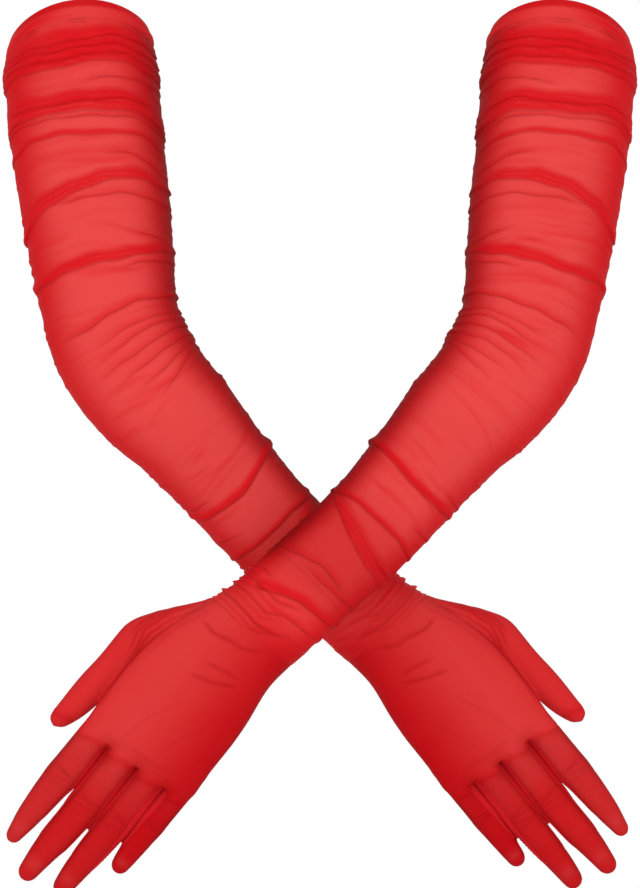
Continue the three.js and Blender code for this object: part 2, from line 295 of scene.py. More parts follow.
    def rim(self, angle: Array) -> Array:
        """Distance down the arm of the slanted rim of the opening."""
        return -self.depths[0] / 2 * math.tan(math.radians(self.rim_slant)) * np.sin(
            np.radians(angle)
        )

    def hand_point(self, along: Array, aside: Array, proud: Array) -> Array:
        """Points from distances along the fingers' heading, to the thumb side and to the back."""
        along, aside, proud = (np.asarray(v, float)[:, None] for v in (along, aside, proud))
        return (self.wrist + self.finger_way * along + self.thumb_side * aside
                + self.back * proud)

    def hand_place(self, points: Array) -> Tuple[Array, Array, Array]:
        """Distances along the fingers' heading, to the thumb side and to the back, of points."""
        relative = points - self.wrist
        return (relative @ self.finger_way, relative @ self.thumb_side, relative @ self.back)

    def placed(self, points: Array) -> Array:
        """Points of the left side's layout in metres, on this glove's own side."""
        return points * self.mirror * MM

    def laid_out(self, points: Array) -> Array:
        """The other way: points in metres as millimetres on the left side's layout."""
        return points / MM * self.mirror

    def spot(self, point: Array) -> Vector:
        """One such point as a vector."""
        return Vector(self.placed(point[None, :])[0])

    def body(self, name: str) -> str:
        """Full name of a body or node of this glove."""
        return f"{self.side.value}_{name}"


# ------------------------------------------------------------------ folds

PALM_SWING = 2.6  # millimetres along the arm, for the crest of a fold on the palm side


@dataclass
class FoldSums:
    """What the folds add up to, place by place.

    Args:
        lift, slip: height and overhang in millimetres.
        light, clear: how much is left of the light colour, and of the cloth free of painted shade in
            the creases.
    """

    lift: Array
    slip: Array
    light: Array
    clear: Array

    @classmethod
    def nothing(cls, size: int) -> "FoldSums":
        """Plain cloth at so many places."""
        return cls(np.zeros(size), np.zeros(size), np.ones(size), np.ones(size))

    def add(self, lift: Array, slip: Array, depth: Array, line: Array) -> None:
        """Adds one fold: its height and overhang, what it takes of the light colour, and its painted
        crease shade.
        """
        self.lift += lift
        self.slip += slip
        self.light = self.light * (1 - depth)
        self.clear = self.clear * (1 - line)


@dataclass(frozen=True)
class Ridge:
    """A thin fold that runs round the sleeve along a path of (angle, distance down) points, with
    painted shade in its crease.
    """

    path: Path
    height: float = 1.0
    before: float = 3.2
    after: float = 1.1
    hang: float = 0.8
    depth: float = 0.5
    # line: strength of the painted shade in the crease.
    line: float = 0.6
    taper: float = 22.0
    whole: bool = False

    def window(self, front: Array) -> Array:
        """How much of the fold is there at each angle."""
        low, high = self.path[0][0], self.path[-1][0]
        if self.whole:
            return np.ones_like(front)
        near = 1.0 if low <= 0 else ease(low - 1, low + self.taper, front)
        far = 1.0 if high >= 180 else 1 - ease(high - self.taper, high + 1, front)
        return near * far * np.ones_like(front)

    def centre(self, angle: Array, front: Array) -> Array:
        """Distance down of the fold's crest at each angle."""
        angles, places = zip(*self.path)
        crest = np.interp(front, angles, places)
        return crest + PALM_SWING * palm_swing(angle)

    def lay(self, sums: FoldSums, down: Array, angle: Array, front: Array) -> None:
        """Adds the fold to the others."""
        crest = down - self.centre(angle, front)
        there = self.window(front)
        # The last of these is painted shade in the crease just past the crest.
        sums.add(
            self.height * there * hump(crest, self.before, self.after),
            self.hang * there * hump(crest + 0.2, 1.5, 0.8),
            self.depth * there * hump(crest, self.before * 0.7, 1.0),
            self.line * there * hump(crest - 0.7, 0.7, 0.8),
        )


@dataclass(frozen=True)
class Band:
    """Cloth lying double between two paths: deeper in colour, a little proud, with painted shade
    along its lower edge.
    """

    top: Path
    bottom: Path
    depth: float = 0.85
    puff: float = 0.9
    soft: float = 2.0
    crisp: float = 0.8
    # line: strength of the painted shade along the lower edge.
    line: float = 0.5
    hang: float = 1.0
    taper: float = 10.0

    def window(self, front: Array) -> Array:
        """How much of the band is there at each angle."""
        low, high = self.top[0][0], self.top[-1][0]
        there = ease(low - 1, low + self.taper, front)
        there = there * (1 - ease(high - self.taper, high + 1, front))
        there = np.where((low <= 0) & (front < 90), 1.0, there)
        return np.where((high >= 180) & (front >= 90), 1.0, there)

    def lay(self, sums: FoldSums, down: Array, angle: Array, front: Array, seed: int) -> None:
        """Adds the band to the other folds, with the layers inside it as stripes."""
        there = self.window(front)
        swing = palm_swing(angle)
        top = np.interp(front, *zip(*self.top)) + PALM_SWING * swing
        bottom = np.interp(front, *zip(*self.bottom)) + 2.2 * swing
        inside = ease(-self.soft, self.soft, down - top)
        inside = inside * (1 - ease(-self.crisp, self.crisp, down - bottom)) * there
        share = np.clip((down - top) / np.maximum(bottom - top, 0.1), 0, 1)
        layers = (bottom - top) / 2.6 + 0.5 * np.sin(np.radians(front * 2.3) + seed)
        stripe = hump(np.mod(share * layers, 1) - 0.6, 0.28, 0.2) * ease(3.5, 7, bottom - top)
        # The last of these is painted shade along the band's lower edge.
        sums.add(
            0.3 * stripe * inside + self.puff * inside * (0.35 + 0.65 * share),
            self.hang * there * hump(down - bottom, 3.0, 0.8),
            self.depth * inside * (1 - 0.3 * stripe),
            self.line * there * hump(down - bottom - 0.5, 0.7, 0.9),
        )


@dataclass(frozen=True)
class Wrinkle:
    """A small wrinkle: its middle, half its reach round the sleeve, its slant and its size."""

    middle: float
    place: float
    half: float
    tilt: float
    height: float
    width: float

    def lay(self, sums: FoldSums, down: Array, angle: Array) -> None:
        """Adds the wrinkle to the other folds."""
        turn, there = round_from(angle, self.middle, self.half)
        crest = hump(down - self.place - self.tilt * turn, self.width, self.width * 0.7) * there
        sums.add(self.height * crest, 0, 0.35 * crest * min(1.0, self.height * 2), 0)


@dataclass(frozen=True)
class Veil:
    """A patch where the cloth lies double: fading in downwards and ending in a crisp edge."""

    middle: float
    place: float
    half: float
    tilt: float
    thick: float
    depth: float

    def lay(self, sums: FoldSums, down: Array, angle: Array) -> None:
        """Adds the patch to the other folds."""
        turn, there = round_from(angle, self.middle, self.half)
        step = down - self.place - self.tilt * turn - 2.0 * (turn / self.half) ** 2
        patch = ease(-self.thick, 0, step) * (1 - ease(-0.3, 0.9, step)) * np.sqrt(there)
        sums.add(0.25 * patch, 0, self.depth * patch, 0)


@dataclass
class FoldField:
    """All the folds of one sleeve.

    Args:
        ridges, bands: the laid-out folds.
        seed: seed of the small wrinkles.
        wrinkles, patches: how many small wrinkles and double patches.
        reach: first and last distance down that the small wrinkles cover.
        droop_places, droop: how far folds hang down at the thumb side, at distances down.
        small, veils: the small wrinkles and the double patches, once drawn.
    """

    ridges: List[Ridge]
    bands: List[Band]
    seed: int = 7
    wrinkles: int = 210
    patches: int = 84
    reach: Tuple[float, float] = (14.0, 392.0)
    droop_places: Sequence[float] = (0, 20, 50, 88, 104, 128)
    droop: Sequence[float] = (0, 4, 10, 12, 8, 0)
    small: List[Wrinkle] = field(default_factory=list)
    veils: List[Veil] = field(default_factory=list)

    def __post_init__(self) -> None:
        """Draws the small wrinkles, most of them at the two sides of the sleeve."""
        dice = np.random.default_rng(self.seed)
        for _ in range(self.wrinkles):
            side = dice.choice([0.0, 180.0, 90.0, 270.0], p=[0.36, 0.32, 0.16, 0.16])
            self.small.append(Wrinkle(
                middle=side + dice.normal(0, 22), place=dice.uniform(*self.reach),
                half=dice.uniform(12, 38), tilt=dice.normal(0, 0.07),
                height=dice.uniform(0.15, 0.6), width=dice.uniform(0.8, 1.9),
            ))
        for _ in range(self.patches):
            place = 4 + 376 * dice.beta(0.9, 1.7)
            thick = dice.uniform(2.5, 9.0) * (1.0 if place < 160 else 0.6)
            self.veils.append(Veil(
                middle=dice.uniform(-20, 200), place=place, half=dice.uniform(26, 80),
                tilt=dice.normal(0, 0.05), thick=thick, depth=dice.uniform(0.1, 0.34),
            ))

    def at(self, down: Array, angle: Array) -> Tuple[Array, Array, Array, Array]:
        """Height, overhang, depth of colour and painted shade of the crease lines.

        Args:
            down: distances down the arm.
            angle: angles around it.

        Returns:
            lift and slip in millimetres, fold and the painted crease shade from 0 to 1.
        """
        front = front_angle(angle)
        droop = np.interp(down, self.droop_places, self.droop) * (1 - ease(0, 64, front))
        droop += np.interp(down, self.droop_places, self.droop) * 0.4 * ease(132, 180, front)
        down = down - droop - np.interp(down, [0, 20, 150, 175], [1.5, 3.2, 3.2, 0])
        turned = np.radians(angle)
        loose = 1 - 0.7 * ease(150, 240, down)
        down = down + 0.8 * loose * np.sin(3 * turned + down * 0.05 + self.seed)
        down = down + 0.6 * loose * np.sin(5 * turned - down * 0.09 + self.seed * 2.3)
        down = down + 0.35 * loose * np.sin(11 * turned + down * 0.21)
        sums = FoldSums.nothing(down.size)
        for band in self.bands:
            band.lay(sums, down, angle, front, self.seed)
        for ridge in self.ridges:
            ridge.lay(sums, down, angle, front)
        for wrinkle in self.small + self.veils:
            wrinkle.lay(sums, down, angle)
        return sums.lift, sums.slip, 1 - sums.light, 1 - sums.clear


def shared_folds() -> Tuple[List[Ridge], List[Band]]:
    """The folds that both sleeves have, from the opening to the forearm."""
    ridges = [
        Ridge([(0, 9.5), (60, 8.5), (120, 9.5), (180, 11)], 0.7, 2.4, 1.0, whole=True),
        Ridge([(0, 14.5), (70, 13), (130, 12.5), (180, 15)], 0.8, 2.6, 1.0, whole=True),
        Ridge([(0, 19), (60, 17.4), (140, 17), (180, 18)], 0.7, 2.2, 1.0, whole=True),
        Ridge([(0, 26), (30, 29), (95, 32)], 0.7, 2.4, 1.1, depth=0.3),
        Ridge([(20, 41), (90, 42.5), (165, 41)], 0.8, 2.4, 1.0),
        Ridge([(0, 52), (90, 50.6), (180, 49)], 0.45, 2.0, 0.9, depth=0.35),
        Ridge([(15, 75.5), (50, 73), (82, 70.5)], 0.7, 2.6, 1.0),
        Ridge([(0, 91.5), (15, 92.8), (60, 95.2), (120, 98)], 0.55, 2.2, 0.9, depth=0.4),
        Ridge([(12, 119.8), (40, 118), (72, 115.2)], 0.7, 2.6, 1.0),
        Ridge([(0, 128.5), (5, 129), (65, 135.6), (80, 137)], 0.7, 2.4, 1.0),
        Ridge([(0, 157), (26, 157.5), (66, 158), (90, 160), (110, 163.6), (150, 168)], 1.1, 4.2,
              1.4, depth=0.6, taper=40),
        Ridge([(0, 172), (46, 169.6), (70, 170.2), (90, 172.6), (122, 177)], 0.8, 3.4, 1.3,
              depth=0.4, line=0.45, taper=44),
        Ridge([(0, 179), (30, 176), (58, 174.4), (80, 177.4), (120, 183)], 0.8, 3.2, 1.3,
              depth=0.45, line=0.5, taper=44),
        Ridge([(0, 185), (30, 182.6), (54, 182.2), (82, 185.4), (126, 190)], 0.85, 3.4, 1.3,
              depth=0.45, line=0.5, taper=44),
        Ridge([(0, 193), (28, 191), (56, 190), (80, 192.4), (118, 198)], 0.8, 3.4, 1.3,
              depth=0.4, line=0.5, taper=44),
        Ridge([(0, 196), (26, 196.4), (48, 198), (70, 199.8), (104, 203)], 0.7, 3.4, 1.3,
              depth=0.35, line=0.45, taper=40),
        Ridge([(0, 198), (22, 200.6), (46, 204.6), (66, 208), (92, 212)], 0.7, 3.2, 1.3,
              depth=0.35, line=0.45, taper=34),
        Ridge([(0, 275), (20, 276), (44, 276.6)], 1.2, 3.6, 1.2, taper=24),
        Ridge([(112, 270), (146, 270), (180, 268)], 0.5, 2.0, 0.9, line=0.5, taper=34),
        Ridge([(112, 297), (138, 295), (180, 292)], 0.5, 2.0, 0.9, line=0.5, taper=34),
        Ridge([(20, 310), (50, 316), (70, 321), (90, 326)], 0.5, 1.8, 0.9, 0.4, 0.4, 0.4, 12.0),
    ]
    bands = [
        Band([(0, 5), (90, 3.6), (180, 6)], [(0, 22.5), (90, 21.3), (180, 22)], 0.9, 1.1),
        Band([(0, 38), (90, 36.5), (180, 36)], [(0, 49), (90, 47.6), (180, 46)], 0.9, 1.1),
        Band([(10, 59.5), (90, 57.9), (180, 58)], [(10, 60.5), (90, 60.8), (180, 61)], 0.8,
             0.7, 1.0, 0.7),
        Band([(0, 77), (80, 81.5), (170, 99), (180, 100)],
             [(0, 80), (80, 88.5), (170, 107), (180, 108)], 0.9, 1.2),
        Band([(0, 119), (75, 126.5), (160, 133), (180, 134)],
             [(0, 122), (75, 132.5), (160, 137), (180, 138)], 0.9, 1.2),
        Band([(0, 271.5), (50, 274.3), (90, 276.6), (140, 274.6), (180, 271.5)],
             [(0, 274.5), (50, 277.5), (90, 280.4), (140, 278.4), (180, 274.5)], 0.9, 1.0, 1.4,
             line=0.75),
        Band([(0, 307.5), (30, 307), (60, 304.8), (180, 304)],
             [(0, 310), (30, 309.4), (60, 307.2), (180, 306.6)], 0.9, 0.9, 1.6, line=0.8),
        Band([(22, 309), (66, 314), (94, 318), (112, 320.5), (180, 322)],
             [(22, 312), (54, 318), (68, 321), (94, 326), (118, 329), (180, 328.5)], 0.85, 1.0,
             2.6, line=0.45, taper=26.0),
    ]
    return ridges, bands


def crossing_folds(front: bool) -> Tuple[List[Ridge], List[Band]]:
    """The folds between the crossing and the wrist.

    Args:
        front: whether this is the glove whose forearm shows where the two cross.

    Returns:
        Ridges and bands.
    """
    bands: List[Band] = []
    ridges = [
        Ridge([(0, 371), (14, 371), (48, 372.5)], 0.8, 2.0, 0.9, 0.4, 0.3, 0.5, 16.0),
        Ridge([(0, 366), (28, 367), (62, 369)], 0.7, 2.0, 0.9, 0.4, 0.3, 0.5, 16.0),
    ]
    if front:
        bands += [
            Band([(10, 348), (50, 346.6), (86, 343.5), (136, 344.5)],
                 [(10, 352.5), (50, 350), (86, 346), (136, 347)], 0.5, 0.8, 2.4, line=0.8,
                 taper=30.0),
            Band([(68, 350.5), (96, 350), (138, 347.5), (180, 345)],
                 [(68, 352.3), (96, 352.4), (138, 349.5), (180, 347)], 0.5, 0.7, 1.8, line=0.6,
                 taper=26.0),
            Band([(40, 374), (74, 368), (100, 364), (126, 362), (180, 358)],
                 [(40, 377.5), (56, 376.5), (76, 372), (100, 368), (140, 364.5), (180, 361.5)],
                 0.85, 1.2, 2.4, line=0.8, taper=16.0),
        ]
        ridges += [
            Ridge([(110, 323), (140, 323.5), (180, 321)], 0.6, 2.0, 0.9, taper=20.0),
            Ridge([(92, 378.5), (130, 376), (180, 373)], 0.8, 3.0, 1.0, line=0.5, taper=24.0),
        ]
    for turn, place in enumerate((374, 377.8, 381.6, 385.2, 388.6, 392, 395.2, 398.4, 401.6)):
        reach = 118 + 12 * math.sin(turn * 1.9)
        strong = (0.9, 0.5, 1.0, 0.35, 1.2, 0.4, 0.8, 1.25, 0.5)[turn]
        ridges += [
            Ridge([(0, place), (45, place + 0.8), (82, place + 1.6), (reach - 20, place - 1.4),
                   (reach, place - 6)], 0.8 * strong, 1.5, 0.9, 0.4, 0.4, 0.5 * strong, 30.0),
            Ridge([(0, place), (16, place), (44, place + 0.8)], 1.1 * strong, 1.3, 0.8, 0.5, 0.2,
                  0.2, 26.0),
        ]
    return ridges, bands


def hand_tone(aside: Array) -> Tuple[Array, Array]:
    """Depth of colour and painted shade across the hand: painted light on the thumb side, painted
    shade on the little finger's side.
    """
    fold = np.interp(aside, [-34, -26, -16, -4, 10, 26, 38, 46, 60],
                     [1.0, 0.98, 0.93, 0.74, 0.46, 0.28, 0.38, 0.58, 0.62])
    shade = np.interp(aside, [-34, -24, -12, 4, 16, 60], [0.42, 0.4, 0.3, 0.18, 0.13, 0.1])
    return fold, shade


# ------------------------------------------------------------------ meshes


def settled(bm: bmesh.types.BMesh, name: str) -> bpy.types.Mesh:
    """A new mesh with what was built, which is then let go."""
    mesh = bpy.data.meshes.new(name)
    bm.to_mesh(mesh)
    bm.free()
    return mesh


@contextmanager
def edited(mesh: bpy.types.Mesh) -> Iterator[bmesh.types.BMesh]:
    """Lends a mesh out to be worked on and writes it back."""
    bm = bmesh.new()
    bm.from_mesh(mesh)
    yield bm
    bm.to_mesh(mesh)
    bm.free()


def grid_tube(name: str, rows: int, columns: int,
              shape: Callable[[Array, Array], Tuple[Array, Marks]],
              closed: bool = False) -> bpy.types.Mesh:
    """A tube bent out of a flat grid.

    Args:
        name: name of the mesh.
        rows, columns: faces along the tube and around it.
        shape: takes shares along (0..1) and turns around (0..1), returns points in metres and
            the marks to keep on the vertices.
        closed: whether both ends are closed.

    Returns:
        The mesh, closed along its seam, faces outwards.
    """
    bm = bmesh.new()
    bmesh.ops.create_grid(bm, x_segments=columns, y_segments=rows, size=0.5)
    mesh = settled(bm, name)
    flat = points_of(mesh)
    points, marks = shape(flat[:, 1] + 0.5, flat[:, 0] + 0.5)
    mesh.vertices.foreach_set("co", points.astype(np.float32).ravel())
    for mark, values in marks.items():
        put_mark(mesh, mark, values)
    with edited(mesh) as bm:
        bmesh.ops.remove_doubles(bm, verts=bm.verts, dist=WELD)
        if closed:
            loose = [e for e in bm.edges if e.is_boundary]
            bmesh.ops.holes_fill(bm, edges=loose, sides=0)
        bmesh.ops.recalc_face_normals(bm, faces=bm.faces)
    outwards(mesh)
    return mesh


def open_chains(bm: bmesh.types.BMesh, near: Array) -> List[List[bmesh.types.BMEdge]]:
    """Connected runs of a mesh's open rim, in the order of the mesh.

    Args:
        bm: the mesh, freshly read.
        near: for each vertex, whether the rim is wanted there.

    Returns:
        one list of edges for each run.
    """
    bm.edges.index_update()
    edges = list(bm.edges)
    rim = {e.index for e in edges if e.is_boundary and all(near[v.index] for v in e.verts)}
    chains = []
    while rim:
        chain = set()
        fresh = {min(rim)}
        while fresh:
            rim -= fresh
            chain |= fresh
            ends = [v for i in fresh for v in edges[i].verts]
            fresh = {e.index for v in ends for e in v.link_edges} & rim
        chains.append([edges[i] for i in sorted(chain)])
    return chains


def outwards(mesh: bpy.types.Mesh) -> None:
    """Turns the faces round where most of them point at the middle of their own slab."""
    mesh.update()
    centres = vectors_of(mesh.polygons, "center")
    normals = vectors_of(mesh.polygons, "normal")
    order = np.argsort(centres[:, 2])
    total = 0.0
    for slab in np.array_split(order, max(1, len(order) // SLAB_FACES)):
        spokes = centres[slab] - centres[slab].mean(0)
        total += float(np.sum(spokes * normals[slab]))
    if total < 0:
        mesh.flip_normals()


def vectors_of(items: Sequence, name: str) -> Array:
    """One vector of each item of a mesh, as rows."""
    flat = np.empty(len(items) * 3, np.float32)
    items.foreach_get(name, flat)
    return flat.reshape(-1, 3).astype(float)


def put_mark(mesh: bpy.types.Mesh, name: str, values: Array) -> None:
    """Keeps a number on each vertex under a name that the materials read."""
    mark = mesh.attributes.get(name) or mesh.attributes.new(name, "FLOAT", "POINT")
    mark.data.foreach_set("value", np.asarray(values, np.float32))


def points_of(mesh: bpy.types.Mesh) -> Array:
    """Vertex positions of a mesh."""
    return vectors_of(mesh.vertices, "co")


def normals_of(mesh: bpy.types.Mesh) -> Array:
    """Vertex normals of a mesh."""
    mesh.update()
    return vectors_of(mesh.vertex_normals, "vector")


def shown(name: str, mesh: bpy.types.Mesh, material: bpy.types.Material) -> bpy.types.Object:
    """A smooth-shaded object in the scene with one material."""
    mesh.materials.clear()
    mesh.materials.append(material)
    mesh.polygons.foreach_set("use_smooth", np.ones(len(mesh.polygons), bool))
    thing = bpy.data.objects.new(name, mesh)
    bpy.context.scene.collection.objects.link(thing)
    LOG.info("%s: %d faces", name, len(mesh.polygons))
    return thing


def walled(thing: bpy.types.Object, thickness: float) -> None:
    """Gives a single layer of cloth its thickness, inwards."""
    wall = thing.modifiers.new("Cloth", "SOLIDIFY")
    wall.thickness = thickness * MM
    wall.offset = -1.0
    wall.use_even_offset = False


# ------------------------------------------------------------------ finishes


class Cloth(Enum):
    """The finishes of the gloves, named as the part's material slots."""

    SHEER = "sheer_mesh"
    GATHERED = "gathered_mesh"
    HEM = "hem_fabric"
    STRIP = "fourchette_fabric"
    THREAD = "stitching"


@dataclass(frozen=True)
class Finish:
    """Colours and surface of one cloth, linear RGB, with the colour of its painted shade."""

    name: str
    light: Tuple[float, float, float] = (0.80, 0.072, 0.067)
    deep: Tuple[float, float, float] = (0.70, 0.005, 0.010)
    # Painted shade: the colour that the shade mark darkens the cloth towards.
    shade_colour: Tuple[float, float, float] = (0.22, 0.0015, 0.002)
    roughness: float = 0.7
    sheen: float = 0.03
    weave: float = 0.16
    pitch: float = 0.8
    bump: float = 0.25
    mottle: float = 0.08


FINISHES = {
    Cloth.SHEER: Finish("sheer_mesh"),
    Cloth.GATHERED: Finish("gathered_mesh", roughness=0.6),
    Cloth.HEM: Finish("hem_fabric", weave=0.2, sheen=0.2),
    Cloth.STRIP: Finish("fourchette_fabric", light=(0.86, 0.045, 0.06), weave=0.35, pitch=1.1),
    Cloth.THREAD: Finish("stitching", light=(0.85, 0.07, 0.075), deep=(0.66, 0.02, 0.026),
                         weave=0.1, pitch=0.5),
}


class Dyer:
    """Builds the materials: one weave group shared by all of them."""

    def __init__(self) -> None:
        """Makes the shared group once."""
        self.weave = self._weave_group()
        self.made: Dict[Cloth, bpy.types.Material] = {}

    @staticmethod
    def _weave_group() -> bpy.types.NodeTree:
        """A group that turns places on the cloth into the threads of a fine mesh."""
        tree = bpy.data.node_groups.new("MeshWeave", "ShaderNodeTree")
        face = tree.interface
        for name in ("Along", "Round", "Pitch"):
            face.new_socket(name=name, in_out="INPUT", socket_type="NodeSocketFloat")
        face.new_socket(name="Threads", in_out="OUTPUT", socket_type="NodeSocketFloat")
        entry = tree.nodes.new("NodeGroupInput").outputs
        leave = tree.nodes.new("NodeGroupOutput")
        waves = []
        for sign in ("ADD", "SUBTRACT"):
            slanted = Dyer._sum(tree, sign, entry["Along"], entry["Round"])
            scaled = Dyer._sum(tree, "DIVIDE", slanted, entry["Pitch"])
            turn = Dyer._sum(tree, "MULTIPLY", scaled, 2 * math.pi)
            waves.append(Dyer._sum(tree, "SINE", turn))
        top = Dyer._sum(tree, "MAXIMUM", *waves)
        tree.links.new(Dyer._sum(tree, "MULTIPLY_ADD", top, 0.5, 0.5), leave.inputs["Threads"])
        return tree

    @staticmethod
    def _sum(tree: bpy.types.NodeTree, operation: str, *values: object,
             clamp: bool = False) -> bpy.types.NodeSocket:
        """One Math node of numbers and sockets, and what comes out of it."""
        node = tree.nodes.new("ShaderNodeMath")
        node.operation = operation
        node.use_clamp = clamp
        for socket, value in zip(node.inputs, values):
            if isinstance(value, bpy.types.NodeSocket):
                tree.links.new(value, socket)
            else:
                socket.default_value = value
        return node.outputs[0]

    @staticmethod
    def _read(nodes: bpy.types.Nodes, name: str) -> bpy.types.NodeSocket:
        """Socket of a number kept on the vertices."""
        mark = nodes.new("ShaderNodeAttribute")
        mark.attribute_name = name
        return mark.outputs["Fac"]

    @staticmethod
    def _mixed(tree: bpy.types.NodeTree, share: bpy.types.NodeSocket, first: object,
               second: object) -> bpy.types.NodeSocket:
        """Mixes two colours, each a tuple or a socket."""
        mix = tree.nodes.new("ShaderNodeMix")
        mix.data_type = "RGBA"
        tree.links.new(share, mix.inputs["Factor"])
        for socket, value in ((mix.inputs[6], first), (mix.inputs[7], second)):
            if isinstance(value, bpy.types.NodeSocket):
                tree.links.new(value, socket)
            else:
                socket.default_value = (*value, 1.0)
        return mix.outputs[2]

    def cloth(self, kind: Cloth) -> bpy.types.Material:
        """The material of one cloth, made the first time it is asked for."""
        if kind in self.made:
            return self.made[kind]
        finish = FINISHES[kind]
        material = bpy.data.materials.new(finish.name)
        material.use_nodes = True
        tree = material.node_tree
        nodes, links = tree.nodes, tree.links
        shader = nodes["Principled BSDF"]
        for name, value in (
            ("Roughness", finish.roughness), ("Sheen Weight", finish.sheen),
            ("Sheen Roughness", 0.5), ("Sheen Tint", (1.0, 0.12, 0.12, 1.0)),
            ("Specular Tint", (1.0, 0.2, 0.2, 1.0)), ("Specular IOR Level", 0.08),
        ):
            shader.inputs[name].default_value = value
        woven = nodes.new("ShaderNodeGroup")
        woven.node_tree = self.weave
        woven.inputs["Pitch"].default_value = finish.pitch
        links.new(self._read(nodes, "along"), woven.inputs["Along"])
        links.new(self._read(nodes, "round"), woven.inputs["Round"])
        place = nodes.new("ShaderNodeTexCoord")
        cloud = nodes.new("ShaderNodeTexNoise")
        cloud.inputs["Scale"].default_value = 55.0
        cloud.inputs["Detail"].default_value = 4.0
        links.new(place.outputs["Object"], cloud.inputs["Vector"])
        spread = self._sum(tree, "MULTIPLY_ADD", cloud.outputs["Fac"], finish.mottle * 2,
                           -finish.mottle)
        # The fold mark deepens the colour; on the hand and fingers part of it is painted light and
        # shade.
        depth = self._sum(tree, "ADD", self._read(nodes, "fold"), spread, clamp=True)
        colour = self._mixed(tree, depth, finish.light, finish.deep)
        thread = self._sum(tree, "MULTIPLY", woven.outputs["Threads"], finish.weave)
        colour = self._mixed(tree, thread, colour, finish.deep)
        # Painted shade: the shade mark darkens the colour towards the cloth's shade colour.
        colour = self._mixed(tree, self._read(nodes, "shade"), colour, finish.shade_colour)
        links.new(colour, shader.inputs["Base Color"])
        bump = nodes.new("ShaderNodeBump")
        bump.inputs["Strength"].default_value = finish.bump
        bump.inputs["Distance"].default_value = 0.00025
        links.new(woven.outputs["Threads"], bump.inputs["Height"])
        links.new(bump.outputs["Normal"], shader.inputs["Normal"])
        self.made[kind] = material
        return material


# ------------------------------------------------------------------ one glove


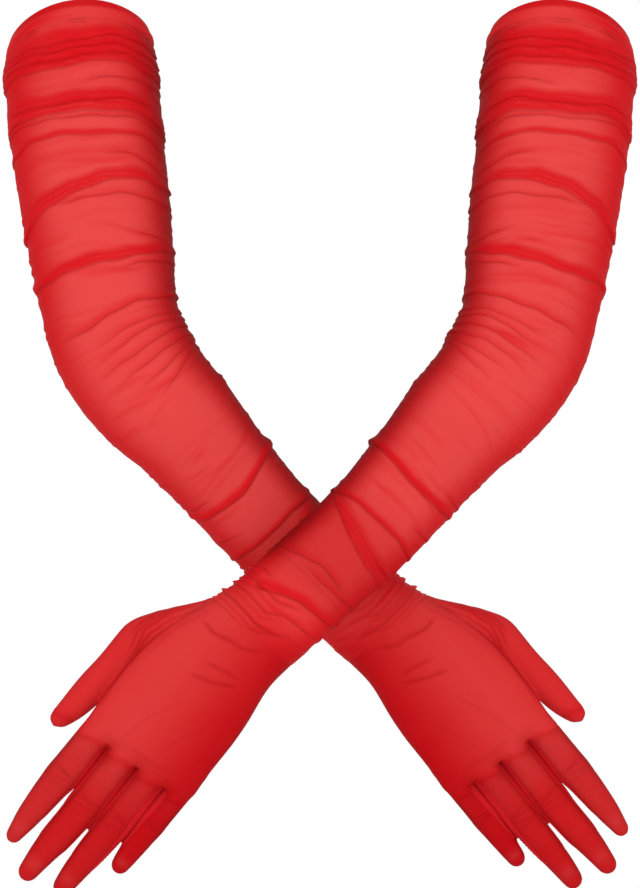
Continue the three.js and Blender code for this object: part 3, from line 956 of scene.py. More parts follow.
@dataclass
class Sleeve:
    """The gathered sleeve from under the hem to the crossing, and the gathered wrist after it."""

    arm: Arm
    dyer: Dyer
    top: float = 9.5
    split: float = 356.0
    end: float = 403.0
    rows: int = 330
    columns: int = 132
    wrist_rows: int = 72
    elbow_blend: float = 40.0
    thickness: float = 0.4

    def __post_init__(self) -> None:
        """Lays out this sleeve's folds."""
        ridges, bands = shared_folds()
        more_ridges, more_bands = crossing_folds(self.arm.side is Side.LEFT)
        seed = 11 if self.arm.side is Side.LEFT else 29
        self.folds = FoldField(ridges + more_ridges, bands + more_bands, seed)

    def tone(self, down: Array, angle: Array) -> Tuple[Array, Array]:
        """Deeper colour towards the two sides of the sleeve, and painted shade on its inner side and
        outer edge, down the forearm and where the arms cross.
        """
        front = front_angle(angle)
        upper = 1 - ease(130, 215, down)
        near = 1 - ease(20, 90, down)
        inner = 1 - ease(16 + 8 * near, 66 + 10 * near, front)
        outer = ease(112 - 8 * near, 158 - 6 * near, front)
        brim = 1 - ease(8, 40, down)
        back = np.where(np.mod(angle, 360) > 180, 1.0, 0.0) * np.abs(np.sin(np.radians(angle)))
        late = ease(350, 376, down)
        fold = (1 - inner) * (1 - (0.85 + 0.13 * upper) * outer)
        # Where the two arms cross, the colour is deepened and darkened as painted shade.
        crossing = ease(285, 330, down) * (1 - late)
        fold = 1 - fold * (1 - 0.45 * late) * (1 - 0.3 * back) * (1 - 0.35 * brim)
        fold = deepened(fold, 0.4 * crossing)
        # Painted shade: strongest on the inner side, more at the outer edge, fading at the wrist.
        shade = (0.88 + 0.04 * upper) * (1 - ease(0, 62, front)) * (1 - 0.75 * late)
        shade += 0.12 * ease(150, 180, front) + 0.06 * ease(200, 260, down) * (1 - late)
        shade = np.clip(shade + 0.15 * crossing, 0, 0.95)
        return fold, shade

    def shape(self, first: float, last: float) -> Callable[[Array, Array], Tuple[Array, Marks]]:
        """How a grid becomes the sleeve between two distances down the arm."""

        def mapped(share: Array, turn: Array) -> Tuple[Array, Marks]:
            angle = 270 + 360 * turn
            lean = self.arm.rim(angle) * np.clip(1 - share * (last - first) / 28, 0, 1)
            lean = lean if first < 50 else np.zeros_like(angle)
            down = first + share * (last - first) + lean
            lift, slip, fold, crease_shade = self.folds.at(down, angle)
            settle = ease(self.end - 9, self.end - 2, down)
            lift = lift * (1 - settle) + 0.55 - 1.5 * ease(self.end - 12, self.end, down)
            slip = slip * (1 - settle)
            # deep and shade carry painted shade from the sleeve's tone and, near the wrist, from the
            # hand's.
            deep, shade = self.tone(down, angle)
            points = self.arm.surface(down, angle, lift, slip)
            late = ease(374, 396, down)
            hand_deep, hand_shade = hand_tone(self.arm.hand_place(points)[1])
            deep = deep * (1 - late) + hand_deep * late
            shade = shade * (1 - late) + hand_shade * 0.7 * late
            fold = deepened(fold, deep)
            # Painted shade in the creases of the folds darkens the cloth there.
            shade = deepened(shade, 0.62 * crease_shade)
            half_width, half_depth, _ = self.arm.girth(down)
            marks = {
                "along": down,
                "round": np.radians(angle) * (half_width + half_depth) / 2,
                "fold": fold,
                "shade": shade,
            }
            return self.arm.placed(points), marks

        return mapped

    def build(self) -> List[bpy.types.Object]:
        """Makes the sleeve and the wrist."""
        arm = self.arm
        mesh = grid_tube(arm.body("sleeve"), self.rows, self.columns,
                         self.shape(self.top, self.split))
        sleeve = shown(arm.body("sleeve"), mesh, self.dyer.cloth(Cloth.SHEER))
        walled(sleeve, self.thickness)
        arm.body("upper_arm")
        arm.body("forearm")
        arm.spot(arm.elbow - arm.upper_way * self.elbow_blend)
        arm.spot(arm.elbow + arm.forearm_way * self.elbow_blend)
        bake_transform(sleeve)
        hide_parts(*(arm.body(n) for n in (
            "upper_arm_back_panel", "upper_arm_under_panel", "elbow_section",
            "forearm_back_panel", "forearm_under_panel")))
        mesh = grid_tube(arm.body("wrist_gathers"), self.wrist_rows, self.columns,
                         self.shape(self.split, self.end))
        wrist = shown(arm.body("wrist_gathers"), mesh, self.dyer.cloth(Cloth.GATHERED))
        walled(wrist, self.thickness)
        arm.body("forearm")
        arm.body("hand")
        arm.spot(arm.wrist - arm.forearm_way * arm.wrist_reach)
        arm.spot(arm.wrist + arm.hand_way * arm.wrist_reach)
        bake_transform(wrist)
        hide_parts(arm.body("wrist_section"))
        return [sleeve, wrist]


@dataclass
class HemBand:
    """The doubled band round the arm opening, with its row of stitches."""

    arm: Arm
    dyer: Dyer
    height: float = 12.8
    proud: float = 0.75
    rows: int = 46
    columns: int = 160
    stitches: int = 110
    seam_inset: float = 1.6

    def shape(self, share: Array, turn: Array) -> Tuple[Array, Marks]:
        """How a grid becomes the band: up the outside, over the rim, down the inside."""
        angle = 270 + 360 * turn
        path = 2 * share - 1
        below = np.abs(path) ** 1.3 * self.height
        roll = np.sin(np.clip(path * 6, -1, 1) * math.pi / 2)
        lift = -self.proud * roll + 0.1
        wave = 0.35 * np.sin(np.radians(angle * 9)) + 0.3 * np.sin(np.radians(angle * 17 + 40))
        pull = hump(below - self.height + self.seam_inset, 0.9, 0.9)
        bend = np.sin(np.radians(angle * 2.3 + 20))
        rolls = hump(below - 5.4 - 1.3 * bend, 1.5, 0.7) + hump(below - 8.8 + 1.0 * bend, 1.5, 0.7)
        rolls = rolls * (0.5 + 0.5 * np.sin(np.radians(angle * 3 + 60))) * (path < 0)
        lift = lift + (path < 0) * (wave * 0.5 * ease(1, 6, below) - 0.45 * pull) + 0.5 * rolls
        inside = path > 0
        lift = np.where(inside, np.minimum(lift, -0.3), lift)
        down = self.arm.rim(angle) + below
        front = front_angle(angle)
        edge = 1 - ease(3.0, 5.2, below)
        inner = 1 - ease(22, 80, front)
        outer = ease(92, 142, front)
        fold = 1 - (1 - 0.85 * edge) * (1 - 0.9 * inner) * (1 - 0.9 * outer) * 0.72
        fold = deepened(fold, 0.5 * rolls)
        fold = np.where(inside, 1.0, fold)
        # Painted shade along the rim, on the inner side, at the seam's pull and inside the band.
        shade = 0.2 * edge + 0.4 * (1 - ease(0, 50, front)) + 0.3 * pull
        shade = np.where(inside, 0.6, shade)
        marks = {"along": down, "round": np.radians(angle) * 41, "fold": fold, "shade": shade}
        points = self.arm.surface(down, angle, lift, np.zeros_like(down))
        return self.arm.placed(points), marks

    def build(self) -> List[bpy.types.Object]:
        """Makes the band and its stitches."""
        arm = self.arm
        mesh = grid_tube(arm.body("hem_band"), self.rows, self.columns, self.shape)
        band = shown(arm.body("hem"), mesh, self.dyer.cloth(Cloth.HEM))
        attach(band, arm.body("upper_arm"))
        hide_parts(arm.body("hem_band"))
        stitches = self._stitches()
        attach(stitches, arm.body("upper_arm"))
        return [band, stitches]

    def _stitches(self) -> bpy.types.Object:
        """One row of short stitches just above the band's lower edge."""
        angle = np.linspace(0, 360, self.stitches, endpoint=False)
        down = self.arm.rim(angle) + self.height - self.seam_inset
        flat = np.zeros_like(angle)
        lift = flat + self.proud - 0.1
        here = self.arm.placed(self.arm.surface(down, angle, lift, flat))
        ahead = self.arm.placed(self.arm.surface(down, angle + 0.5, lift, flat))
        return stitch_row(self.arm.body("hem_stitches"), here, ahead - here, 1.4, 0.22,
                          self.dyer.cloth(Cloth.THREAD))


def stitch_row(name: str, places: Array, ways: Array, length: float, radius: float,
               material: bpy.types.Material) -> bpy.types.Object:
    """A row of short thread stitches.

    Args:
        name: name of the piece.
        places: middle of each stitch, in metres.
        ways: direction of each stitch.
        length, radius: size of a stitch in millimetres.
        material: the thread.

    Returns:
        The stitches as one piece.
    """
    bm = bmesh.new()
    for place, way in zip(places, ways):
        new = bmesh.ops.create_icosphere(bm, subdivisions=1, radius=1.0)["verts"]
        bmesh.ops.scale(bm, vec=(radius * MM, radius * MM, length / 2 * MM), verts=new)
        turn = Vector(way).to_track_quat("Z", "Y").to_matrix()
        bmesh.ops.rotate(bm, cent=(0, 0, 0), matrix=turn, verts=new)
        bmesh.ops.translate(bm, vec=Vector(place), verts=new)
    mesh = settled(bm, name)
    count = len(mesh.vertices)
    put_mark(mesh, "fold", np.full(count, 0.6))
    put_mark(mesh, "shade", np.full(count, 0.12))
    return shown(name, mesh, material)


@dataclass(frozen=True)
class FingerPlan:
    """One finger in millimetres.

    Args:
        name: name of the finger.
        length: from root to tip.
        strips: the sides that have a side strip.
        depth, tip_depth: depth of colour at the root and the tip; the lighter root is painted light.
        reaches: distances from the root.
        courses: place of the axis to the thumb side at those distances.
        widths: width at those distances.
    """

    name: str
    length: float
    strips: Tuple[str, ...]
    depth: float
    tip_depth: float
    reaches: Tuple[float, ...]
    courses: Tuple[float, ...]
    widths: Tuple[float, ...]

    def line(self, reach: Array) -> Tuple[Array, Array]:
        """Place of the axis and half width at distances from the root, rounded at the tip."""
        spread = np.linspace(-4, 4, 9)[:, None] + np.asarray(reach, float)[None, :]
        aside = np.interp(spread, self.reaches, self.courses).mean(0)
        half = np.interp(spread, self.reaches, self.widths).mean(0) / 2
        half += 0.3 * hump(reach - 0.42 * self.length, 5, 5)
        tip = 0.5 * self.widths[-1]
        gone = np.clip((reach - (self.length - tip)) / tip, 0, 1)
        return aside, np.maximum(half * np.sqrt(np.clip(1 - gone ** 2, 0, 1)), 0.3)


FINGER_PLANS = (
    FingerPlan("index", 76.5, ("inner",), 0.3, 0.5, (-16, 0, 28, 44, 60, 70, 76.5),
               (35.5, 36.4, 37.0, 37.8, 38.1, 38.0, 38.0), (17.4, 17.6, 18.3, 16.4, 13.4, 9.8, 7.4)),
    FingerPlan("middle", 88.5, ("outer", "inner"), 0.35, 0.8, (-16, 0, 40, 60, 71, 80, 88.5),
               (16.8, 17.2, 17.6, 19.0, 19.8, 20.0, 20.0), (18, 18, 18.4, 17.0, 14.4, 12.0, 9.5)),
    FingerPlan("ring", 83.5, ("outer", "inner"), 0.42, 0.78, (-16, 0, 40, 53, 68, 76, 83.5),
               (-2, -1.8, -1.2, -0.5, 0.2, 0.2, 0.0), (17.2, 17.2, 17.2, 16.0, 13.6, 11.8, 9.4)),
    FingerPlan("little", 55.0, ("outer",), 0.8, 0.95, (-16, 0, 22, 36, 46, 55),
               (-18.8, -18.6, -17.8, -17.2, -17.2, -17.4), (14.2, 14, 13.8, 13.2, 11.4, 8.6)),
)


# Folds on the back of the hand: path, height and width. A ridge runs along the hand, with its path
# as (along, aside), and a stroke runs across it, with its path as (aside, along).
# Each fold also draws a line of painted shade along one side of it.
HAND_RIDGES = (
    (((17, 37.5), (30, 46), (43, 50.5), (60, 47.4)), 0.95, 1.3),
    (((19, 41), (36, 50.2), (46, 53.2), (60, 49.8)), 0.95, 1.3),
    (((24, 46.5), (41, 54), (52, 56)), 0.8, 1.3),
    (((15, 33), (30, 42.5), (44, 47.5), (62, 45.6)), 0.5, 1.4),
    (((12, 28), (30, 37), (52, 42.5)), 0.3, 1.6),
    (((54, 48.2), (78.7, 46.2), (94, 44.9)), 0.45, 1.8),
    (((62, -8), (80, 2), (97, 7)), 0.18, 3.0),
    (((60, 12), (80, 22), (98, 27)), 0.18, 3.0),
)
HAND_STROKES = (
    (((-11, 36), (4, 43), (18, 47)), 0.32, 1.4),
    (((-9, 33), (4, 34.6), (15, 36.5)), 0.28, 1.3),
    (((7, 19.4), (19, 21.2), (30, 19.6)), 0.4, 1.2),
    (((-10, 13), (2, 18.8), (16, 19)), 0.3, 1.4),
    (((-12, 94), (4, 97), (20, 96)), 0.15, 2.6),
)
# Painted shade gathers in a soft spot at the root of each gap.
FINGER_GAPS = (26.2, 7.4, -11.2)  # millimetres to the thumb side, where two fingers part
STRIP_LEANS = {"ring_inner": 162.0, "little_outer": 26.0}  # degrees, for those that show
STRIP_SHARE = 0.8  # of a finger's length
STRIP_START = 1.4  # millimetres past the root
STITCH_PITCH = 2.7
# Lines of painted shade cross the back of each finger at these places.
KNUCKLE_CREASES = (0.355, 0.385, 0.42, 0.45)  # shares of a finger's length


@dataclass
class Hand:
    """The hand, four fingers and a thumb, made as one skin and parted at the knuckles.

    Args:
        arm, dyer, joints: the arm it ends, the maker of the cloths and the part's joints.
        voxel, smoothing: grain of the skin and how often it is smoothed.
        thickness: thickness of the cloth.
        depth_share, root_share: depth of a finger over its width, along it and at its joint.
        cuff: where the skin starts, before the wrist.
        root_cut, thumb_cut, thumb_line: where fingers and thumb part from the hand.
        thumb_gap: to the thumb side of this, skin past the knuckles is the thumb's.
        least_rim: the fewest edges that an open rim is closed over.
        rim_near, rim_inset: how near the split a rim is, and its distance from the split's ends.
        buried, tip_run: how far a finger starts inside the hand, and how long its tip is.
        thumb_alongs, thumb_asides, thumb_radii, thumb_drops: course and girth of the thumb.
    """

    arm: Arm
    dyer: Dyer
    joints: Sequence[dict]
    voxel: float = 0.8
    smoothing: int = 7
    thickness: float = 0.4
    depth_share: float = 0.86
    root_share: float = 0.83
    cuff: float = -6.0
    root_cut: float = 6.0
    thumb_line: float = 45.4
    thumb_cut: float = 36.5
    thumb_gap: float = 48.4
    least_rim: int = 6
    rim_near: float = 1.6
    rim_inset: Tuple[float, float] = (0.3, 1.0)
    buried: float = 16.0
    tip_run: float = 9.0
    thumb_alongs: Sequence[float] = (8, 22, 34, 45, 53, 69, 85, 96, 103, 109, 113, 115.6)
    thumb_asides: Sequence[float] = (20, 31, 41.2, 48.6, 50.2, 51.2, 53, 54, 55, 56.3, 57, 57.2)
    thumb_radii: Sequence[float] = (10.8, 11.3, 11, 10.7, 9.8, 9, 8.9, 8.2, 7.2, 6.1, 4.6, 0.4)
    thumb_drops: Sequence[float] = (2, 4.5, 6.5, 8, 9, 9, 9, 9, 9, 9, 9, 9)

    def __post_init__(self) -> None:
        """Finds each finger's root from its joint."""
        self.roots: Dict[str, Tuple[float, float, float]] = {}
        found = {joint["name"]: joint for joint in self.joints}
        for plan in FINGER_PLANS:
            joint = found[self.arm.body(f"{plan.name}_bend")]
            place = self.arm.laid_out(np.array(joint["pos_m"]))
            along, aside, proud = self.arm.hand_place(place)
            self.roots[plan.name] = (along, aside, proud + plan.widths[1] / 2 * self.root_share)
        self.knuckles = self.roots["middle"][0] + self.root_cut

    # -------------------------------------------------------------- shells

    def _palm_shell(self) -> bpy.types.Mesh:
        """The closed hand from inside the wrist gathers to the knuckles."""
        first = self.arm.to_wrist - 14
        last = self.arm.to_wrist + self.arm.hand_length + 2.5

        def mapped(share: Array, turn: Array) -> Tuple[Array, Marks]:
            down = first + share * (last - first)
            angle = 360 * turn
            past = down - self.arm.to_wrist
            swell = 0.9 * np.sin(np.pi * np.clip(past / 103, 0, 1))
            shrink = -2.2 * ease(98, 106, past)
            flat = np.zeros_like(down)
            points = self.arm.surface(down, angle, swell + shrink, flat)
            return self.arm.placed(points), {}

        return grid_tube("palm_shell", 60, 96, mapped, closed=True)

    def _tube_shell(self, name: str, centres: Array, radii: Array, depth: float,
                    way: Array, lift: Array) -> bpy.types.Mesh:
        """A closed finger from centres and radii along it."""

        def mapped(share: Array, turn: Array) -> Tuple[Array, Marks]:
            at = share * (len(radii) - 1)
            steps = np.arange(len(radii))
            centre = np.stack([np.interp(at, steps, centres[:, k]) for k in range(3)], 1)
            radius = np.interp(at, steps, radii)
            high = np.interp(at, steps, lift)
            angle = 2 * np.pi * turn
            aside = np.outer(np.cos(angle) * radius, np.cross(way, self.arm.back))
            deep = np.sin(angle)
            proud = np.outer(deep * radius * depth + high * np.clip(deep, 0, 1), self.arm.back)
            return self.arm.placed(centre + aside + proud), {}

        return grid_tube(name, len(radii) - 1, 40, mapped, closed=True)

    def _finger_shell(self, plan: FingerPlan) -> bpy.types.Mesh:
        """One closed finger, from inside the hand to its tip."""
        along, _, proud = self.roots[plan.name]
        reach = np.concatenate([
            np.linspace(-self.buried, plan.length - self.tip_run, 44),
            plan.length - self.tip_run
            + self.tip_run * np.sin(np.linspace(0.08, 1, 14) * math.pi / 2),
        ])
        share = reach / plan.length
        aside, radius = plan.line(reach)
        centres = self.arm.hand_point(along + reach, aside, np.full(reach.size, proud))
        nail = 0.5 * hump(share - 0.9, 0.05, 0.04) + 0.5 * hump(share - 0.41, 0.05, 0.06)
        return self._tube_shell(plan.name, centres, radius, self.depth_share,
                                self.arm.finger_way, nail)

    def _thumb_shell(self) -> bpy.types.Mesh:
        """The closed thumb, from inside the ball of the hand to its tip."""
        along = np.concatenate([np.linspace(self.thumb_alongs[0], 104, 64),
                                104 + 11.6 * np.sin(np.linspace(0.08, 1, 16) * math.pi / 2)])
        spread = np.linspace(-5, 5, 9)[:, None] * (1 - ease(92, 108, along)) + along[None, :]
        aside, radius, drop = (
            np.interp(spread, self.thumb_alongs, values).mean(0)
            for values in (self.thumb_asides, self.thumb_radii, self.thumb_drops)
        )
        centres = self.arm.hand_point(along, aside, -drop)
        nail = 0.6 * hump(along - 104, 5, 4)
        return self._tube_shell("thumb", centres, radius, 0.88, self.arm.finger_way, nail)

    def skin(self) -> bpy.types.Mesh:
        """One skin round the palm, fingers and thumb."""
        bm = bmesh.new()
        shells = [self._palm_shell(), self._thumb_shell()]
        shells += [self._finger_shell(plan) for plan in FINGER_PLANS]
        for shell in shells:
            bm.from_mesh(shell)
            bpy.data.meshes.remove(shell)
        thing = bpy.data.objects.new("skin", settled(bm, "skin"))
        bpy.context.scene.collection.objects.link(thing)
        knit = thing.modifiers.new("Knit", "REMESH")
        knit.mode = "VOXEL"
        knit.voxel_size = self.voxel * MM
        graph = bpy.context.evaluated_depsgraph_get()
        result = bpy.data.meshes.new_from_object(thing.evaluated_get(graph))
        bpy.data.objects.remove(thing)
        arm = self.arm
        with edited(result) as bm:
            for _ in range(self.smoothing):
                bmesh.ops.smooth_vert(bm, verts=bm.verts, factor=0.5, use_axis_x=True,
                                      use_axis_y=True, use_axis_z=True)
            for way, distance in ((arm.finger_way, self.cuff), (arm.finger_way, self.knuckles),
                                  (arm.finger_way, self.thumb_cut),
                                  (arm.thumb_side, self.thumb_line)):
                bmesh.ops.bisect_plane(bm, geom=bm.verts[:] + bm.edges[:] + bm.faces[:],
                                       dist=1e-7, plane_co=arm.spot(arm.wrist + way * distance),
                                       plane_no=Vector(way * arm.mirror))
        return result

    # -------------------------------------------------------------- parting

    def _owners(self, mesh: bpy.types.Mesh) -> Array:
        """Which piece each face of the skin belongs to: 0 hand, 1 thumb, 2.. fingers, -1 none."""
        centres = vectors_of(mesh.polygons, "center")
        along, aside, _ = self.arm.hand_place(self.arm.laid_out(centres))
        owner = np.zeros(len(along), int)
        owner[(aside > self.thumb_line) & (along > self.thumb_cut)] = 1
        beyond = along > self.knuckles
        asides = [self.roots[plan.name][1] for plan in FINGER_PLANS]
        nearest = np.argmin(np.abs(aside[:, None] - np.array(asides)[None, :]), axis=1)
        fingers = beyond & ((aside <= self.thumb_gap) | (along > self.thumb_alongs[-1] + 2))
        owner[fingers] = nearest[fingers] + 2
        owner[along < self.cuff] = -1
        return owner

    def _part(self, skin: bpy.types.Mesh, owner: Array, which: int,
              name: str) -> bpy.types.Mesh:
        """The faces of the skin that belong to one piece, as a mesh of their own."""
        bm = bmesh.new()
        bm.from_mesh(skin)
        away = [face for face in bm.faces if owner[face.index] != which]
        bmesh.ops.delete(bm, geom=away, context="FACES")
        bmesh.ops.remove_doubles(bm, verts=bm.verts, dist=WELD)
        return settled(bm, name)

    def _web(self, mesh: bpy.types.Mesh) -> None:
        """Closes a piece where thumb and hand part, so that neither gapes as the thumb spreads."""
        along, aside, _ = self.arm.hand_place(self.arm.laid_out(points_of(mesh)))
        first, last = self.rim_inset
        near = (np.abs(aside - self.thumb_line) < self.rim_near) & (along > self.thumb_cut + first)
        near &= along < self.knuckles - last
        with edited(mesh) as bm:
            for chain in open_chains(bm, near):
                if len(chain) < self.least_rim:
                    continue
                touched = [v for e in chain for v in e.verts]
                loose = [v for v in touched if touched.count(v) == 1]
                if len(loose) == 2:
                    chain.append(bm.edges.new(loose))
                made = bmesh.ops.contextual_create(bm, geom=chain)["faces"]
                bmesh.ops.triangulate(bm, faces=made)
                for edge in chain:
                    edge.smooth = False
            bmesh.ops.recalc_face_normals(bm, faces=bm.faces)
        outwards(mesh)

    # -------------------------------------------------------------- dress

    def relief(self, points: Array, normals: Array) -> Tuple[Array, Array, Array]:
        """Fold height, colour depth and painted shade on the hand and fingers.

        Args:
            points: positions in millimetres on the left side's layout.
            normals: normals there.

        Returns:
            lift in millimetres, fold and shade from 0 to 1.
        """
        along, aside, _ = self.arm.hand_place(points)
        facing = normals @ self.arm.back
        side_on = 1 - np.clip(np.abs(facing), 0, 1)
        fold, shade = hand_tone(aside)
        # A crease of deeper colour and painted shade runs along the knuckles.
        wobble = along - self.knuckles - 1.4 * np.sin(aside * 0.33)
        fold = deepened(fold, 0.4 * hump(wobble, 3.0, 3.5))
        lift = np.zeros_like(along)
        clear = np.ones_like(along)
        for path, height, width in HAND_RIDGES:
            alongs, asides = zip(*path)
            spine = np.interp(along, alongs, asides)
            there = ease(alongs[0] - 4, alongs[0] + 8, along)
            there = there * (1 - ease(alongs[-1] - 10, alongs[-1] + 3, along))
            lift += height * hump(aside - spine, width, width * 0.6) * there * (
                np.clip(facing + 0.25, 0, 1)
            )
            # Painted shade along one side of the ridge.
            clear = clear * (1 - 0.55 * min(1.0, height * 1.6)
                             * hump(aside - spine + width * 0.9, 0.8, 0.8) * there
                             * (facing > 0))
        for path, height, width in HAND_STROKES:
            asides, alongs = zip(*path)
            line = np.interp(aside, asides, alongs)
            there = ease(asides[0], asides[0] + 7, aside)
            there = there * (1 - ease(asides[-1] - 7, asides[-1], aside))
            there = there * np.clip(facing, 0, 1)
            lift += height * hump(along - line, width * 1.4, width * 0.7) * there
            # Painted shade along one side of the stroke.
            clear = clear * (1 - height * 1.5 * hump(along - line - width * 0.6, 1.5, 1.0)
                             * there)
        # Deeper colour and painted shade where the cloth turns sideways and beside the folds.
        fold = deepened(fold, 0.45 * (1 - clear), 0.75 * side_on ** 2)
        shade = deepened(shade, 0.5 * (1 - clear), 0.4 * side_on ** 3,
                         0.13 * hump(wobble, 1.4, 1.4))
        # Painted shadow at the root of each gap between the fingers.
        for gap in FINGER_GAPS:
            near = hump(along - self.knuckles, 6.5, 9.0) * hump(aside - gap, 5.0, 5.0)
            shade = deepened(shade, 0.42 * near * np.clip(facing, 0, 1))
            fold = deepened(fold, 0.5 * near)
        return lift, fold, shade

    def _finger_tone(self, plan: FingerPlan, along: Array, aside: Array, back: Array,
                     fold: Array, shade: Array) -> Tuple[Array, Array]:
        """One finger's colour: painted light at root and nail, deeper along it, painted shade at
        edges and middle-joint creases.
        """
        reach = along - self.roots[plan.name][0]
        share = reach / plan.length
        axis, half = plan.line(reach)
        aside = (aside - axis) / half
        # Lighter at the root as painted light, deeper towards the tip.
        own = plan.depth + (plan.tip_depth - plan.depth) * ease(0.12, 0.45, share)
        enter = ease(-0.02, 0.16, share)
        fold = fold * (1 - enter) + (1 - (1 - own) * (1 - 0.5 * fold)) * enter
        # Painted highlight over the nail.
        fold = fold * (1 - 0.35 * hump(share - 0.88, 0.05, 0.04) * np.clip(1 - aside ** 2, 0, 1))
        # Painted shade at the finger's edges and, more for the lighter fingers, over the whole
        # finger.
        edge = ease(0.55, 1.0, np.abs(aside)) * (1 - 0.6 * ease(0.35, 0.7, share)) * enter
        gloom = 0.26 * (1 - plan.depth) * enter
        shade = deepened(shade, 0.46 * edge, gloom)
        middle = np.clip(1 - aside ** 2, 0, 1) * back
        # Painted shade in the creases over the middle joint.
        for count, place in enumerate(KNUCKLE_CREASES):
            bow = 0.9 * np.cos(2.4 * aside + count * 1.7 + plan.length)
            crease_shade = hump((share - place) * plan.length - bow, 0.6, 0.6) * middle
            shade = deepened(shade, (0.3 - 0.05 * count) * crease_shade)
        return fold, shade

    def _dress(self, mesh: bpy.types.Mesh, plan: Optional[FingerPlan] = None) -> None:
        """Raises the small folds on a piece and writes its marks."""
        points = self.arm.laid_out(points_of(mesh))
        normals = normals_of(mesh) * self.arm.mirror
        lift, fold, shade = self.relief(points, normals)
        along, aside, proud = self.arm.hand_place(points)
        if plan is not None:
            back = np.clip(normals @ self.arm.back, 0, 1)
            fold, shade = self._finger_tone(plan, along, aside, back, fold, shade)
        moved = points + many(normals, lift)
        mesh.vertices.foreach_set("co", self.arm.placed(moved).astype(np.float32).ravel())
        put_mark(mesh, "along", along)
        put_mark(mesh, "round", aside + 0.7 * proud)
        put_mark(mesh, "fold", fold)
        put_mark(mesh, "shade", shade)
        mesh.update()

    def build(self) -> List[bpy.types.Object]:
        """Makes the hand's pieces."""
        arm = self.arm
        skin = self.skin()
        owner = self._owners(skin)
        made = []
        hand_mesh = self._part(skin, owner, 0, arm.body("hand"))
        self._dress(hand_mesh)
        self._web(hand_mesh)
        hand = shown(arm.body("hand_skin"), hand_mesh, self.dyer.cloth(Cloth.SHEER))
        walled(hand, self.thickness)
        arm.body("forearm")
        arm.body("hand")
        arm.spot(arm.wrist - arm.forearm_way * arm.wrist_reach)
        arm.spot(arm.wrist + arm.hand_way * arm.wrist_reach)
        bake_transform(hand)
        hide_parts(arm.body("hand_back_panel"), arm.body("hand_palm_panel"))
        made.append(hand)
        thumb_mesh = self._part(skin, owner, 1, arm.body("thumb"))
        self._dress(thumb_mesh)
        self._web(thumb_mesh)
        thumb = shown(arm.body("thumb_skin"), thumb_mesh, self.dyer.cloth(Cloth.SHEER))
        walled(thumb, self.thickness)
        arm.body("hand")
        arm.body("thumb")
        arm.spot(arm.wrist + arm.finger_way * (self.thumb_cut + 1))
        arm.spot(arm.wrist + arm.finger_way * (self.thumb_cut + 34))
        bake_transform(thumb)
        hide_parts(arm.body("thumb_back_panel"), arm.body("thumb_palm_panel"))
        made.append(thumb)
        for number, plan in enumerate(FINGER_PLANS):
            made += self._finger(skin, owner, number + 2, plan)
        bpy.data.meshes.remove(skin)
        return made

    def _finger(self, skin: bpy.types.Mesh, owner: Array, which: int,
                plan: FingerPlan) -> List[bpy.types.Object]:
        """One finger, its side strips and their stitches."""
        arm = self.arm
        mesh = self._part(skin, owner, which, arm.body(plan.name))
        self._dress(mesh, plan)
        finger = shown(arm.body(f"{plan.name}_skin"), mesh, self.dyer.cloth(Cloth.SHEER))
        walled(finger, self.thickness)
        along, aside, proud = self.roots[plan.name]
        start = arm.hand_point([along + self.root_cut + 1], [aside], [proud])[0]
        end = arm.hand_point([along + self.root_cut + 13], [aside], [proud])[0]
        where = (arm.body("hand"), arm.body(plan.name), arm.spot(start), arm.spot(end))
        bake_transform(finger)
        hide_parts(arm.body(f"{plan.name}_back_panel"),
                    arm.body(f"{plan.name}_palm_panel"))
        extras: List[bpy.types.Object] = []
        for strip in plan.strips:
            extras += self._strip(plan, strip, where)
        return [finger] + extras

    def _strip(self, plan: FingerPlan, strip: str,
               where: Tuple[str, str, Vector, Vector]) -> List[bpy.types.Object]:
        """A side strip of a finger with a row of stitches along both edges."""
        arm = self.arm
        along, _, proud = self.roots[plan.name]
        facing = 180.0 if strip == "inner" else 0.0
        facing = STRIP_LEANS.get(f"{plan.name}_{strip}", facing)
        long = plan.length * STRIP_SHARE

        def surface(share: Array, across: Array, lift: Array) -> Array:
            reach = STRIP_START + share * (long - STRIP_START)
            aside, radius = plan.line(reach)
            half = 38 * (1 - 0.8 * share ** 2) * (0.5 + 0.5 * ease(0, 0.12, share))
            angle = np.radians(facing + across * half)
            return arm.hand_point(
                along + reach,
                aside + np.cos(angle) * (radius + lift),
                proud + np.sin(angle) * (radius * self.depth_share + lift),
            )

        def mapped(share: Array, turn: Array) -> Tuple[Array, Marks]:
            across = (turn - 0.5) * 2
            lift = 0.15 - 0.75 * np.abs(across) ** 8 + 0.2 * hump(np.abs(across) - 0.8, 0.1, 0.1)
            full = (1 - across ** 2) * (1 - ease(0.38, 0.66, share))
            lift = lift + 0.62 * full - 0.6 * ease(0.86, 1, share)
            lift = lift - 0.5 * (1 - ease(0, 0.02, share))
            # The shade mark is painted shade at the strip's edges and near its root between the
            # fingers.
            marks = {
                "along": share * long,
                "round": across * plan.widths[1] * 0.25,
                "fold": 0.55 + 0.4 * np.abs(across) ** 3,
                "shade": 0.16 + 0.3 * np.abs(across) ** 4 + 0.3 * (1 - ease(0, 0.3, share)),
            }
            return arm.placed(surface(share, across, lift)), marks

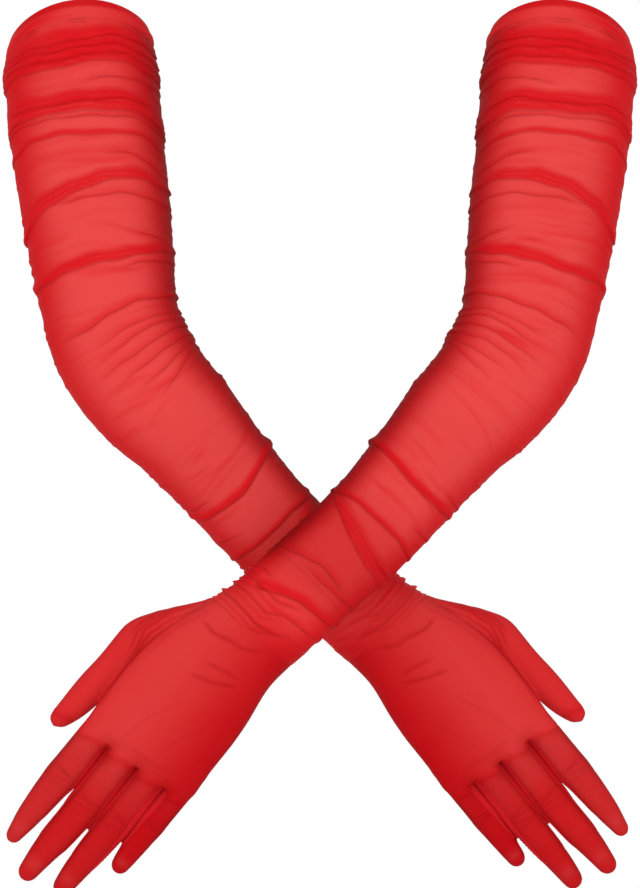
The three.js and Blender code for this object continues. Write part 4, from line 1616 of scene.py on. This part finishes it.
        mesh = grid_tube(arm.body(f"{plan.name}_{strip}_strip"), 70, 14, mapped)
        piece = shown(arm.body(f"{plan.name}_{strip}_strip"), mesh, self.dyer.cloth(Cloth.STRIP))
        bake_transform(piece)
        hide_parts(arm.body(f"{plan.name}_{strip}_fourchette"))
        count = int(long / STITCH_PITCH)
        share = np.tile(np.linspace(0.1, 0.8, count), 2)
        across = np.repeat([-0.8, 0.8], count)
        here = arm.placed(surface(share, across, np.full(share.size, 0.22)))
        ahead = arm.placed(surface(share + 0.01, across, np.full(share.size, 0.22)))
        stitches = stitch_row(arm.body(f"{plan.name}_{strip}_stitches"), here, ahead - here,
                              1.1, 0.16, self.dyer.cloth(Cloth.THREAD))
        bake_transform(stitches)
        return [piece, stitches]


@dataclass
class Glove:
    """One whole glove."""

    side: Side
    joints: Sequence[dict]
    dyer: Dyer

    def build(self) -> List[bpy.types.Object]:
        """Makes every piece of the glove."""
        arm = Arm.of(self.side, self.joints)
        pieces = HemBand(arm, self.dyer).build()
        pieces += Sleeve(arm, self.dyer).build()
        pieces += Hand(arm, self.dyer, self.joints).build()
        return pieces


# ------------------------------------------------------------------ studio


@dataclass
class Studio:
    """Floor, light and camera."""

    distance: float = 4.0
    height: float = -0.2233
    lens: float = 295.0
    floor_height: float = -0.62
    floor_radius: float = 0.9
    ambient: float = 0.74

    def build(self) -> None:
        """Makes the floor, the lights and the camera."""
        self._floor()
        self._world()
        self._lamp("front_soft", (-0.4, -2.8, 0.5), 1.8, 19.0)
        self._lamp("front_low", (0.6, -2.8, -0.6), 1.6, 10.0)
        self._camera()
        bpy.context.scene.view_settings.view_transform = "Standard"

    def _floor(self) -> None:
        """A pale round floor under the gloves."""
        bm = bmesh.new()
        bmesh.ops.create_circle(bm, cap_ends=True, segments=96, radius=self.floor_radius)
        bmesh.ops.translate(bm, vec=(0, 0, self.floor_height), verts=bm.verts)
        mesh = settled(bm, "floor")
        material = bpy.data.materials.new("pale_floor")
        material.use_nodes = True
        shader = material.node_tree.nodes["Principled BSDF"]
        shader.inputs["Base Color"].default_value = (0.9, 0.9, 0.9, 1)
        shader.inputs["Roughness"].default_value = 0.8
        shown("floor", mesh, material)

    def _world(self) -> None:
        """White all round."""
        world = bpy.data.worlds.new("white")
        bpy.context.scene.world = world
        world.use_nodes = True
        back = world.node_tree.nodes["Background"]
        back.inputs["Color"].default_value = (1, 1, 1, 1)
        seen = world.node_tree.nodes.new("ShaderNodeLightPath")
        level = world.node_tree.nodes.new("ShaderNodeMapRange")
        level.inputs["To Min"].default_value = self.ambient
        level.inputs["To Max"].default_value = 1.0
        world.node_tree.links.new(seen.outputs["Is Camera Ray"], level.inputs["Value"])
        world.node_tree.links.new(level.outputs["Result"], back.inputs["Strength"])

    def _lamp(self, name: str, place: Tuple[float, float, float], size: float,
              power: float) -> None:
        """One large soft lamp that points at the gloves."""
        light = bpy.data.lights.new(name, "AREA")
        light.shape = "DISK"
        light.size = size
        light.energy = power
        lamp = bpy.data.objects.new(name, light)
        lamp.location = place
        aim = Vector((0, 0, self.height)) - Vector(place)
        lamp.rotation_euler = aim.to_track_quat("-Z", "Y").to_euler()
        bpy.context.scene.collection.objects.link(lamp)

    def _camera(self) -> None:
        """A long lens straight at the backs of the hands."""
        lens = bpy.data.cameras.new("camera")
        lens.sensor_fit = "VERTICAL"
        lens.sensor_height = 36.0
        lens.lens = self.lens
        lens.clip_end = 50.0
        camera = bpy.data.objects.new("camera", lens)
        camera.location = (0.0, -self.distance, self.height)
        camera.rotation_euler = (math.pi / 2, 0, 0)
        bpy.context.scene.collection.objects.link(camera)
        bpy.context.scene.camera = camera


def main() -> None:
    """Builds the pair of gloves in order."""
    logging.basicConfig(level=logging.INFO, format="%(name)s: %(message)s")
    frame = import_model()
    Studio().build()
    dyer = Dyer()
    for side in Side:
        pieces = Glove(side, frame["joints"], dyer).build()
        LOG.info("%s glove: %d pieces", side.value, len(pieces))


if __name__ == "__main__":
    main()
